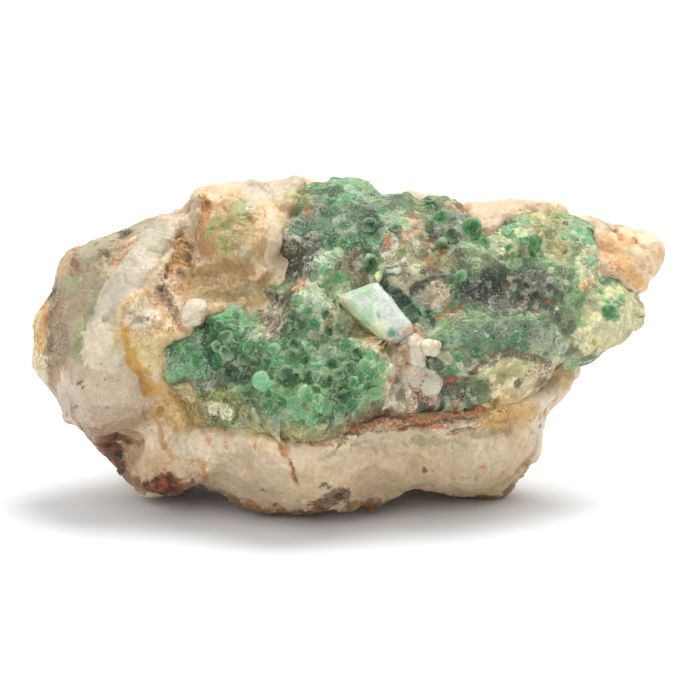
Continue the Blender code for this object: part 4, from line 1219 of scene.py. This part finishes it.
# Domed grains, a skirt that dips into the rock, and close contact with the pale block
def crustShape(mesh, canvas, skin, cells, spots, border):
    points, (nearest, _, gap), field = skin["points"], spots, canvas.mask(grainField, 0.3)
    rise = np.full(len(points), -crust["inset"])
    addWaves(rise, points, crust["waves"], 21)
    dome = smoothstep(0.0, 0.55, gap)
    away = dots(points - cells["place"][nearest], cells["tilt"][nearest])
    height = (crust["dome"] + crust["fieldDome"] * field) * cells["radius"][nearest]
    rise += height * (dome - 0.6) + away * dome
    toPale, paleNormals = nearestOn(paleTree, points, 1.5)
    contact = 1.0 - smoothstep(*crust["contact"], toPale)
    skirt = blurred(mesh, 1.0 - smoothstep(0.2, crust["skirtReach"], border), 3) * (1.0 - contact)
    rise *= 1.0 - contact
    slope = blurred(mesh, 1.0 - smoothstep(0.2, crust["slopeReach"], border), 6)
    slope *= 1.0 - smoothstep(2.6, 4.8, skin["toRock"])
    slope *= smoothstep(crust["paleReach"] / 2, crust["paleReach"], skin["toBlock"]) * crust["slope"]
    points = points - paleNormals * (contact * (toPale + crust["contactDepth"]))[:, None]
    points += skin["normals"] * (rise * (1 - skirt))[:, None]
    drop = crust["skirtDepth"] * skirt + slope * skin["toRock"]
    return points - skin["rockNormals"] * drop[:, None]


def makeCrust():
    mesh, skin = crustSkin()
    points = skin["points"]
    canvas = Canvas(points, skin["normals"], crust["seed"], 1.0)
    border = fromBorder(mesh, points, points)
    cells = grainCells(mesh)
    spots = cellsAt(points, cells)
    colours = crustColours(canvas, skin, cells, spots, border)
    specks = np.tile(crust["plainSpecks"], (len(points), 1))
    specks = canvas.paint(specks, crustSpecks + sharedSpecks, amounts)
    grit = 1.0 - crust["calmGrit"] * canvas.mask(calmCrust, 0.4)
    grit = canvas.strongest(grit, pepperPlaces, 0.5, crust["pepperGrit"])
    grit = canvas.strongest(grit, sugaryPlaces, 0.5)
    points = crustShape(mesh, canvas, skin, cells, spots, border)
    return finished("crust_surface", mesh, points, colours, specks, grit), cells


# One grain: a ball with flat sides and a flat, slightly tilted top
def grainShape(generator, detail):
    bm = bmesh.new()
    bmesh.ops.create_icosphere(bm, subdivisions=detail, radius=1.0)
    sides = generator.integers(5, 8)
    start = generator.random() * math.tau
    planes = []
    for side in range(sides):
        angle = start + math.tau * (side + 0.5 * generator.random()) / sides
        planes.append((math.cos(angle), math.sin(angle), 0.25 * generator.normal(), 0.86))
    for _ in range(3):
        slant = 0.42 * generator.normal(size=2)
        planes.append((slant[0], slant[1], 1.0, 0.60 + 0.1 * generator.random()))
    for x, y, z, distance in planes:
        normal = Vector((x, y, z)).normalized()
        geometry = list(bm.verts) + list(bm.edges) + list(bm.faces)
        cut = bmesh.ops.bisect_plane(
            bm, geom=geometry, plane_co=normal * distance, plane_no=normal, clear_outer=True,
        )
        rim = [part for part in cut["geom_cut"] if isinstance(part, bmesh.types.BMEdge)]
        bmesh.ops.contextual_create(bm, geom=rim)
    low = [vert for vert in bm.verts if vert.co.z < -0.35]
    bmesh.ops.delete(bm, geom=low, context="VERTS")
    bmesh.ops.triangulate(bm, faces=bm.faces)
    bm.verts.index_update()
    points = np.array([vert.co for vert in bm.verts])
    triangles = np.array([[vert.index for vert in face.verts] for face in bm.faces])
    bm.free()
    return points, triangles


def turnTo(normal, spin):
    return np.array((Vector(normal).to_track_quat("Z", "Y").to_matrix() @ Matrix.Rotation(spin, 3, "Z")))


# Places on the crust where separate grains stand, each with the number of its cell
def grainPlaces(crustMesh, cells, generator):
    tree = treeOf(crustMesh)
    places, facing = cells["place"], cells["normal"]
    canvas = Canvas(places, facing, 63, 1.0)
    toRock, _ = nearestOn(rockTree, places, 1.0)
    toPale, _ = nearestOn(paleTree, places, 1.2)
    crustPoints, _ = readMesh(crustMesh)
    border = fromBorder(crustMesh, crustPoints, places)
    bare = (canvas.mask(bareCrust, 0.3) > 0.4) | (border < grains["fromBorder"])
    bare |= (toRock < grains["fromRock"]) | (toPale < grains["fromPale"])
    chance = np.where(canvas.mask(grainField, 0.3) > 0.5, grains["fieldScatter"], grains["scatter"])
    chance = np.where(cells["named"], 1.0, chance)
    placed = []
    for index in np.nonzero(~bare & (generator.random(len(places)) < chance))[0]:
        start = Vector((places[index] + facing[index] * 2.0) * unit)
        place, _, _, _ = tree.ray_cast(start, Vector(-facing[index]), 4.0 * unit)
        if place is not None:
            placed.append((np.array(place) / unit, index))
    return placed


def makeGrains(crustMesh, cells):
    generator = np.random.default_rng(grains["seed"] + 1)
    kinds = [grainShape(generator, 2) for _ in range(grains["kinds"])]
    simple = [grainShape(generator, 1) for _ in range(grains["kinds"])]
    allPoints, allTriangles, allColours = [], [], []
    count = 0
    for place, index in grainPlaces(crustMesh, cells, generator):
        normal, radius, tint = (cells[part][index] for part in ("normal", "radius", "colour"))
        shapes = kinds if radius > grains["simpleBelow"] else simple
        points, triangles = shapes[generator.integers(len(shapes))]
        leaning = normal + grains["tilt"] * generator.normal(size=3)
        turn = turnTo(leaning, generator.random() * math.tau)
        squeeze = np.array((1.0, 0.8 + 0.3 * generator.random(), 0.75 + 0.2 * generator.random()))
        moved = (points * squeeze * radius) @ turn.T
        moved += place + normal * (grains["stand"] - grains["sunk"]) * radius
        rim = tint * (1 - grains["rimShare"]) + linear(grains["rim"]) * grains["rimShare"]
        ring = smoothstep(0.58, 0.84, np.hypot(points[:, 0], points[:, 1]))[:, None]
        # Painted shade: each grain lighter towards one side and darker towards the other
        side = generator.normal(size=2) * grains["sideShade"]
        tint = tint * (1.0 + np.clip(points[:, :2] @ side, -0.4, 0.5))[:, None]
        allPoints.append(moved)
        allTriangles.append(triangles + count)
        allColours.append(tint * (1 - ring) + rim * ring)
        count += len(points)
    points = np.concatenate(allPoints)
    triangles = np.concatenate(allTriangles)
    mesh = bpy.data.meshes.new("grains")
    mesh.from_pydata((points * unit).tolist(), [], triangles.tolist())
    mesh.update()
    storeColour(mesh, "paint", np.concatenate(allColours))
    mesh.shade_smooth()
    mesh.set_sharp_from_angle(angle=math.radians(grains["sharpAngle"]))
    print("crust_grains", len(allPoints), len(triangles))
    return addObject("crust_grains", mesh)


# Pale crystal, a block on its knobs. The block's left, top and lower corners go to their places on
# the photograph, and so does the right one, which is worked out from these
pale = {
    "seed": 71,
    "wander": 0.7,
    "splits": 3,
    "shift": (-7, 1),
    "blockFrom": ((342, 293), (375.5, 283), (375.5, 334)),
    "blockTo": ((341, 296), (375, 282), (389, 343), (412, 331)),
    "blockEnd": (1.05, 1.5),
    "knobsShift": (-2, -4),
    "knobsFrom": (334, 360),
    "knobs": [(426, 345, 26, 26), (424, 386, 30, 22)],
    "knobsStand": 0.2,
    "knobsWaves": [(1.3, 0.35), (0.5, 0.1)],
    "knobsFacets": (1.0, 0.14),
    "softenRounds": 10,
    "sharpAngle": 30,
    "waves": [(1.6, 0.10), (0.5, 0.03)],
    "colour": (206, 211, 198),
    "plainSpecks": (0.0, 0.05, 0.03),
}

palePaint = [
    ("shaded lower left", (200, 206, 162), 0.9, 0.4, [(350, 316, 17, 20, 30), (372, 336, 18, 8, 30)]),
    ("olive foot", (160, 162, 112), 0.85, 0.5, [
        (350, 324, 14, 8), ([(344, 306), (352, 322), (372, 340)], 5),
    ]),
    ("cream corner", (222, 208, 180), 0.8, 0.5, [(346, 297, 10, 5, -20)]),
    ("top stripe", (160, 200, 150), 0.8, 0.3, [([(351, 298), (362, 292), (372, 288)], 3)]),
    ("flecks", (158, 200, 152), 0.8, 0.4, [(367, 313, 7, 9, 20), (355, 306, 3, 7), (366, 324, 6, 4)]),
    ("dark flecks", (96, 146, 116), 0.9, 0.3, [(379, 317, 2, 2.5, 30), (391, 334, 5, 4.5)]),
    ("rusty lines", (214, 138, 76), 0.75, 0.5, [
        ([(386, 340), (392, 348), (402, 348)], 2), ([(404, 332), (410, 326)], 1.5),
        (361, 305, 1.5, 2), ([(402, 352), (406, 372)], 3), (416, 340, 2, 4),
    ]),
    ("knobs", (218, 202, 176), 0.9, 0.4, [(424, 345, 20, 24), (412, 388, 22, 20)]),
    ("lower knobs", (188, 180, 156), 0.7, 0.6, [(412, 390, 24, 18)]),
    ("dark side", (56, 96, 70), 1.0, 0.3, [([(384, 280), (400, 297), (424, 320)], 4)]),
    ("knobs' grey", (200, 192, 172), 0.6, 0.6, [(432, 368, 12, 12), (400, 384, 8, 14), (440, 342, 6, 9)]),
    ("tan of the knobs", (204, 172, 130), 0.6, 0.6, [(402, 358, 8, 12), (384, 350, 8, 7)]),
]

paleSpecks = [("knobs", (0.03, 0.1, 0.35), 1.0, 0.4, [(415, 360, 34, 46)])]


# The pale block and its knobs, brought to their places on the photograph
def paleMoved(points):
    moved = shifted(points, *pale["shift"])
    across, down = toPixels(moved)
    (leftX, leftY), (topX, topY), (lowX, lowY) = pale["blockFrom"]
    topX, topY, lowX, lowY = topX - leftX, topY - leftY, lowX - leftX, lowY - leftY
    spread = topX * lowY - topY * lowX
    along = ((across - leftX) * lowY - (down - leftY) * lowX) / spread
    below = (topX * (down - leftY) - topY * (across - leftX)) / spread
    left, top, low, right = np.array(pale["blockTo"], float)
    goal = np.outer((1 - along) * (1 - below), left) + np.outer(along * (1 - below), top)
    goal += np.outer((1 - along) * below, low) + np.outer(along * below, right)
    share = 1.0 - smoothstep(*pale["blockEnd"], below)
    moved = shifted(moved, (goal[:, 0] - across) * share, (goal[:, 1] - down) * share)
    share = smoothstep(*pale["knobsFrom"], down)
    knobsRight, knobsDown = pale["knobsShift"]
    return shifted(moved, knobsRight * share, knobsDown * share)


def makePale():
    worker = addObject("pale_worker", nodeCopy("pale_crystal"))
    split = worker.modifiers.new("split", "SUBSURF")
    split.subdivision_type = "SIMPLE"
    split.levels = pale["splits"]
    split.render_levels = pale["splits"]
    mesh = applied(worker)
    points, normals = readMesh(mesh)
    points = paleMoved(points)
    canvas = Canvas(points, normals, pale["seed"], pale["wander"])
    colours = np.tile(linear(pale["colour"]), (len(points), 1))
    colours = canvas.paint(colours, palePaint)
    specks = np.tile(pale["plainSpecks"], (len(points), 1))
    specks = canvas.paint(specks, paleSpecks, amounts)
    rise = np.zeros(len(points))
    addWaves(rise, points, pale["waves"], 72)
    knobs = canvas.mask(pale["knobs"], 0.3)
    knobRise = np.full(len(points), pale["knobsStand"])
    addWaves(knobRise, points, pale["knobsWaves"], 74)
    rise += knobs * knobRise
    rise += knobs * facets(points, *pale["knobsFacets"], 6)
    points += normals * rise[:, None]
    soft = np.stack([blurred(mesh, points[:, axis], pale["softenRounds"]) for axis in range(3)], axis=1)
    points += knobs[:, None] * (soft - points)
    piece = finished("pale_block", mesh, points, colours, specks)
    # Sharp edges on the block alone, not on the knobs
    mesh.set_sharp_from_angle(angle=math.radians(pale["sharpAngle"]))
    lumpy = knobs[edgePairs(mesh)].min(axis=1) > 0.3
    sharp = mesh.attributes["sharp_edge"].data
    for index in np.nonzero(lumpy)[0]:
        sharp[index].value = False
    return piece


# Materials
# Adds nodes to a tree. Values that are sockets are linked, and others are set
class Nodes:
    def __init__(self, tree):
        self.tree = tree

    def add(self, kind, inputs=None, **settings):
        node = self.tree.nodes.new(kind)
        for key, value in settings.items():
            setattr(node, key, value)
        for key, value in (inputs or {}).items():
            self.put(node.inputs[key], value)
        return node

    def put(self, socket, value):
        if isinstance(value, bpy.types.NodeSocket):
            self.tree.links.new(value, socket)
        else:
            socket.default_value = value

    def maths(self, operation, first, second, third=0.0):
        values = {0: first, 1: second, 2: third}
        return self.add("ShaderNodeMath", values, operation=operation).outputs[0]

    def vectors(self, operation, first, second):
        return self.add("ShaderNodeVectorMath", {0: first, 1: second}, operation=operation).outputs[0]

    def span(self, value, low, high, toLow, toHigh):
        inputs = {"Value": value, "From Min": low, "From Max": high, "To Min": toLow, "To Max": toHigh}
        return self.add("ShaderNodeMapRange", inputs, interpolation_type="SMOOTHSTEP").outputs["Result"]

    # The colour sockets of a Mix node are its inputs 6 and 7 and its output 2
    def mix(self, factor, first, second, blend="MIX"):
        inputs = {0: factor, 6: first, 7: second}
        return self.add("ShaderNodeMix", inputs, data_type="RGBA", blend_type=blend).outputs[2]

    def grey(self, value):
        inputs = {"Red": value, "Green": value, "Blue": value}
        return self.add("ShaderNodeCombineColor", inputs).outputs["Color"]

    def split(self, colour):
        return self.add("ShaderNodeSeparateColor", {"Color": colour}).outputs

    def clouds(self, place, scale, **more):
        return self.add("ShaderNodeTexNoise", {"Vector": place, "Scale": scale, **more}).outputs

    def chips(self, place, scale, feature="F1"):
        return self.add("ShaderNodeTexVoronoi", {"Vector": place, "Scale": scale}, feature=feature).outputs

    # Object coordinates bent by noise of a size
    def bent(self, place, scale, size):
        bend = self.clouds(place, scale)["Color"]
        return self.vectors("ADD", self.vectors("MULTIPLY", bend, size), place)


def rgba(colour):
    return (*linear(colour), 1.0)


# A node group with named sockets, and its nodes for what goes in and out
def newGroup(name, inputs, outputs):
    tree = bpy.data.node_groups.new(name, "ShaderNodeTree")
    for way, sockets in (("INPUT", inputs), ("OUTPUT", outputs)):
        for socket, kind in sockets.items():
            tree.interface.new_socket(name=socket, in_out=way, socket_type=kind)
    build = Nodes(tree)
    return build, build.add("NodeGroupInput").outputs, build.add("NodeGroupOutput").inputs


colourSocket = "NodeSocketColor"
valueSocket = "NodeSocketFloat"


# Specks of three kinds over a colour: dark specks, pale specks that are partly white grains and partly
# painted glints, and rusty veins. Each amount is the share of the cells that hold a speck
def speckGroup():
    build, given, out = newGroup("specks", {
        "Colour": colourSocket, "Amounts": colourSocket, "Size": valueSocket,
        "Dark": colourSocket, "Pale": colourSocket, "Rust": colourSocket,
    }, {"Colour": colourSocket, "Relief": valueSocket})
    place = build.add("ShaderNodeTexCoord").outputs["Object"]
    wanted = build.split(given["Amounts"])
    scale = build.maths("DIVIDE", 1.0, given["Size"])
    flat = build.vectors("MULTIPLY", place, (0.7, 0.7, 1.8))
    veins = build.clouds(flat, build.maths("MULTIPLY", scale, 0.22), Detail=6.0, Roughness=0.7)["Fac"]
    ridge = build.maths("ABSOLUTE", build.maths("SUBTRACT", veins, 0.5), 0.0)
    thread = build.span(ridge, 0.0, 0.035, 1.0, 0.0)
    patches = build.clouds(place, build.maths("MULTIPLY", scale, 0.13))["Fac"]
    needed = build.maths("SUBTRACT", 0.78, build.maths("MULTIPLY", wanted["Blue"], 0.55))
    blotch = build.span(build.maths("SUBTRACT", patches, needed), -0.05, 0.12, 0.0, 1.0)
    share = build.maths("MULTIPLY", build.maths("MULTIPLY_ADD", thread, 0.75, 0.2), blotch)
    colour = build.mix(share, given["Colour"], given["Rust"])
    place = build.bent(place, build.maths("MULTIPLY", scale, 1.6), given["Size"])
    crowd = build.span(patches, 0.42, 0.62, 0.1, 2.0)
    relief = 0.0
    # The dark specks are grains; the pale ones are partly white grains and partly painted glints
    for amount, tint, shift, factor, strength in (
        ("Red", "Dark", (0.0, 0.0, 0.003), 1.0, 0.75), ("Green", "Pale", (0.013, 0.007, 0.003), 1.6, 0.5),
    ):
        cells = build.chips(build.vectors("ADD", place, shift), build.maths("MULTIPLY", scale, factor))
        dice = build.split(cells["Color"])
        drawn = build.maths("LESS_THAN", dice["Red"], build.maths("MULTIPLY", wanted[amount], crowd))
        width = build.maths("MULTIPLY_ADD", dice["Green"], 0.35, 0.2)
        inside = build.maths("SUBTRACT", width, cells["Distance"])
        share = build.maths("MULTIPLY", build.span(inside, -0.08, 0.08, 0.0, 1.0), drawn)
        share = build.maths("MULTIPLY", share, strength)
        colour = build.mix(share, colour, given[tint])
        relief = build.maths("ADD", relief, share)
    build.put(out["Colour"], colour)
    build.put(out["Relief"], relief)
    return build.tree


# Packed cells: each one lighter or darker, with pale seams between them
def cellGroup():
    build, given, out = newGroup("cells", {
        "Colour": colourSocket, "Size": valueSocket, "Contrast": valueSocket,
        "Seam": valueSocket, "Seam Colour": colourSocket,
    }, {"Colour": colourSocket, "Height": valueSocket})
    place = build.add("ShaderNodeTexCoord").outputs["Object"]
    scale = build.maths("DIVIDE", 1.0, given["Size"])
    place = build.bent(place, scale, given["Size"])
    dice = build.split(build.chips(place, scale)["Color"])
    edges = build.chips(place, scale, "DISTANCE_TO_EDGE")["Distance"]
    gain = build.maths("MULTIPLY_ADD", build.maths("SUBTRACT", dice["Red"], 0.5), given["Contrast"], 1.0)
    colour = build.mix(1.0, given["Colour"], build.grey(gain), "MULTIPLY")
    seam = build.maths("MULTIPLY", build.span(edges, 0.0, 0.12, 1.0, 0.0), given["Seam"])
    build.put(out["Colour"], build.mix(seam, colour, given["Seam Colour"]))
    build.put(out["Height"], build.span(edges, 0.0, 0.3, 0.0, 1.0))
    return build.tree


specksTree = speckGroup()
cellsTree = cellGroup()


def newMaterial(name):
    material = bpy.data.materials.new(name)
    material.use_nodes = True
    return material, Nodes(material.node_tree), material.node_tree.nodes["Principled BSDF"]


def speckled(build, colour, size, dark, pale, rust):
    wanted = build.add("ShaderNodeVertexColor", layer_name="specks").outputs["Color"]
    inputs = {"Colour": colour, "Amounts": wanted, "Size": size * unit}
    inputs |= {"Dark": rgba(dark), "Pale": rgba(pale), "Rust": rgba(rust)}
    group = build.add("ShaderNodeGroup", inputs, node_tree=specksTree)
    return group.outputs["Colour"], group.outputs["Relief"]


def celled(build, colour, grit, size, contrast, seam, seamColour):
    inputs = {"Colour": colour, "Size": size * unit, "Contrast": build.maths("MULTIPLY", grit, contrast)}
    inputs |= {"Seam": seam, "Seam Colour": rgba(seamColour)}
    group = build.add("ShaderNodeGroup", inputs, node_tree=cellsTree)
    return group.outputs["Colour"], group.outputs["Height"]


# A stone's material: sizes are in millimetres
def stoneMaterial(name, settings):
    material, build, shader = newMaterial(name)
    place = build.add("ShaderNodeTexCoord").outputs["Object"]
    paint = build.add("ShaderNodeVertexColor", layer_name="paint").outputs
    colour = paint["Color"]
    for size, low, high in settings["mottle"]:
        cloud = build.clouds(place, 1.0 / (size * unit), Detail=4.0, Roughness=0.68)["Fac"]
        colour = build.mix(1.0, colour, build.grey(build.span(cloud, 0.3, 0.7, low, high)), "MULTIPLY")
    fine = build.clouds(place, 1.0 / (settings["fine"] * unit), Detail=5.0, Roughness=0.6)["Fac"]
    chips = build.chips(place, 1.0 / (settings["chip"] * unit))["Distance"]
    height = build.maths("ADD", fine, build.maths("MULTIPLY", chips, 0.5))
    if settings["cells"]:
        colour, mosaic = celled(build, colour, paint["Alpha"], *settings["cells"])
        rough = build.maths("MULTIPLY", build.maths("MINIMUM", paint["Alpha"], 1.0), 0.5)
        height = build.maths("ADD", height, build.maths("MULTIPLY", mosaic, rough))
    if settings["specks"]:
        colour, relief = speckled(build, colour, settings["speckSize"], *settings["specks"])
        height = build.maths("ADD", height, build.maths("MULTIPLY", relief, 0.25))
    bump = build.add("ShaderNodeBump", {
        "Height": height, "Strength": settings["bump"], "Distance": 0.3 * unit,
    })
    low, high = settings["roughness"]
    for socket, value in (
        ("Base Color", colour),
        ("Normal", bump.outputs["Normal"]),
        ("Roughness", build.span(fine, 0.35, 0.65, low, high)),
        ("Subsurface Weight", settings["scatter"]),
        ("Subsurface Radius", settings["scatterRadius"]),
        ("Subsurface Scale", settings["scatterDepth"] * unit),
        ("Coat Weight", settings["coat"]),
        ("Coat Roughness", 0.15),
        ("IOR", 1.55),
        ("Specular IOR Level", settings["shine"]),
        ("Transmission Weight", settings["clear"]),
    ):
        build.put(shader.inputs[socket], value)
    return material


# Speck colours are dark, pale and rust; the pale specks are partly painted glints
rockMaterial = stoneMaterial("cream_rock", {
    "mottle": [(2.4, 0.9, 1.06), (0.6, 0.92, 1.07)],
    "specks": ((52, 40, 34), (250, 244, 230), (192, 122, 66)),
    "cells": (0.27, 0.36, 0.0, (220, 200, 170)),
    "speckSize": 0.21, "fine": 0.35, "chip": 0.9, "bump": 0.4, "roughness": (0.3, 0.55), "shine": 0.35,
    "scatter": 0.5, "scatterRadius": (1.0, 0.75, 0.5), "scatterDepth": 0.7, "coat": 0.05, "clear": 0.0,
})
crustMaterial = stoneMaterial("beryl_crust", {
    "mottle": [(1.8, 0.9, 1.1), (0.5, 0.86, 1.14)],
    "cells": (0.3, 0.36, 0.12, (186, 200, 150)),
    "specks": ((30, 38, 32), (232, 238, 222), (190, 96, 50)),
    "speckSize": 0.25, "fine": 0.28, "chip": 0.45, "bump": 0.5, "roughness": (0.25, 0.55), "shine": 0.35,
    "scatter": 0.3, "scatterRadius": (0.5, 1.0, 0.7), "scatterDepth": 0.5, "coat": 0.06, "clear": 0.0,
})
grainMaterial = stoneMaterial("beryl_grains", {
    "mottle": [(0.8, 0.8, 1.15), (0.25, 0.85, 1.12)],
    "specks": None, "cells": None,
    "fine": 0.3, "chip": 0.7, "bump": 0.25, "roughness": (0.15, 0.4), "shine": 0.3,
    "scatter": 0.2, "scatterRadius": (0.5, 1.0, 0.7), "scatterDepth": 0.5, "coat": 0.06, "clear": 0.1,
})
paleMaterial = stoneMaterial("pale_crystal", {
    "mottle": [(1.6, 0.9, 1.05), (0.4, 0.92, 1.05)],
    "specks": ((80, 110, 90), (255, 255, 250), (206, 130, 76)), "cells": None,
    "speckSize": 0.3, "fine": 0.4, "chip": 1.0, "bump": 0.4, "roughness": (0.2, 0.45), "shine": 0.4,
    "scatter": 0.3, "scatterRadius": (0.8, 1.0, 0.8), "scatterDepth": 0.7, "coat": 0.15, "clear": 0.0,
})

# The CAD nodes as the scene places them, for the distances between the pieces
rockTree = treeOf(nodes["host_rock"].data, pulled)
crustTree = treeOf(nodes["emerald_crust"].data, pulled)
paleTree = treeOf(nodes["pale_crystal"].data, paleMoved)

rockPiece = makeRock()
crustPiece, grainList = makeCrust()
grainPiece = makeGrains(crustPiece.data, grainList)
palePiece = makePale()

for piece, material, node in (
    (rockPiece, rockMaterial, "host_rock"),
    (crustPiece, crustMaterial, "emerald_crust"),
    (palePiece, paleMaterial, "pale_crystal"),
    (grainPiece, grainMaterial, "emerald_crust"),
):
    piece.data.materials.clear()
    piece.data.materials.append(material)
    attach(piece, "root")
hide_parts("host_rock")
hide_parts("emerald_crust")
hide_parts("pale_crystal")


# Stage, with its own sizes in metres
stage = {
    "floorSize": 3.0,
    "floorColour": (0.90, 0.93, 0.97),
    "floorRoughness": 0.6,
    "sky": 0.70,
    "aim": (0, 0, 0.015),
    "lights": [("key", (0.10, 0.12, 0.50), 0.35, 2.4), ("front", (-0.25, -0.55, 0.40), 0.4, 0.8)],
}


def makeStage():
    bm = bmesh.new()
    bmesh.ops.create_grid(bm, x_segments=1, y_segments=1, size=stage["floorSize"])
    mesh = bpy.data.meshes.new("floor")
    bm.to_mesh(mesh)
    bm.free()
    floor = addObject("floor", mesh)
    material, _, shader = newMaterial("floor")
    shader.inputs["Base Color"].default_value = (*stage["floorColour"], 1.0)
    shader.inputs["Roughness"].default_value = stage["floorRoughness"]
    mesh.materials.append(material)
    world = bpy.data.worlds.new("studio")
    world.use_nodes = True
    background = world.node_tree.nodes["Background"]
    background.inputs["Color"].default_value = (1, 1, 1, 1)
    background.inputs["Strength"].default_value = stage["sky"]
    bpy.context.scene.world = world


def addLight(name, place, size, power):
    data = bpy.data.lights.new(name, "AREA")
    data.shape = "DISK"
    data.size = size
    data.energy = power
    light = addObject(name, data)
    light.location = place
    light.rotation_euler = (Vector(stage["aim"]) - Vector(place)).to_track_quat("-Z", "Y").to_euler()


def makeCamera():
    data = bpy.data.cameras.new("camera")
    data.lens = view["lens"]
    data.sensor_width = view["sensor"]
    data.clip_start = 0.01
    camera = addObject("camera", data)
    width = view["image"] * view["pixel"]
    far = width * view["lens"] / view["sensor"]
    middle = view["image"] / 2
    place = fromPixels(middle, middle, far) * unit
    turn = Matrix((acrossAxis, upAxis, outAxis)).transposed().to_4x4()
    camera.matrix_world = Matrix.Translation(Vector(place)) @ turn
    bpy.context.scene.camera = camera


makeStage()
for light in stage["lights"]:
    addLight(*light)
makeCamera()
bpy.context.scene.view_settings.view_transform = "Standard"
print("stage")
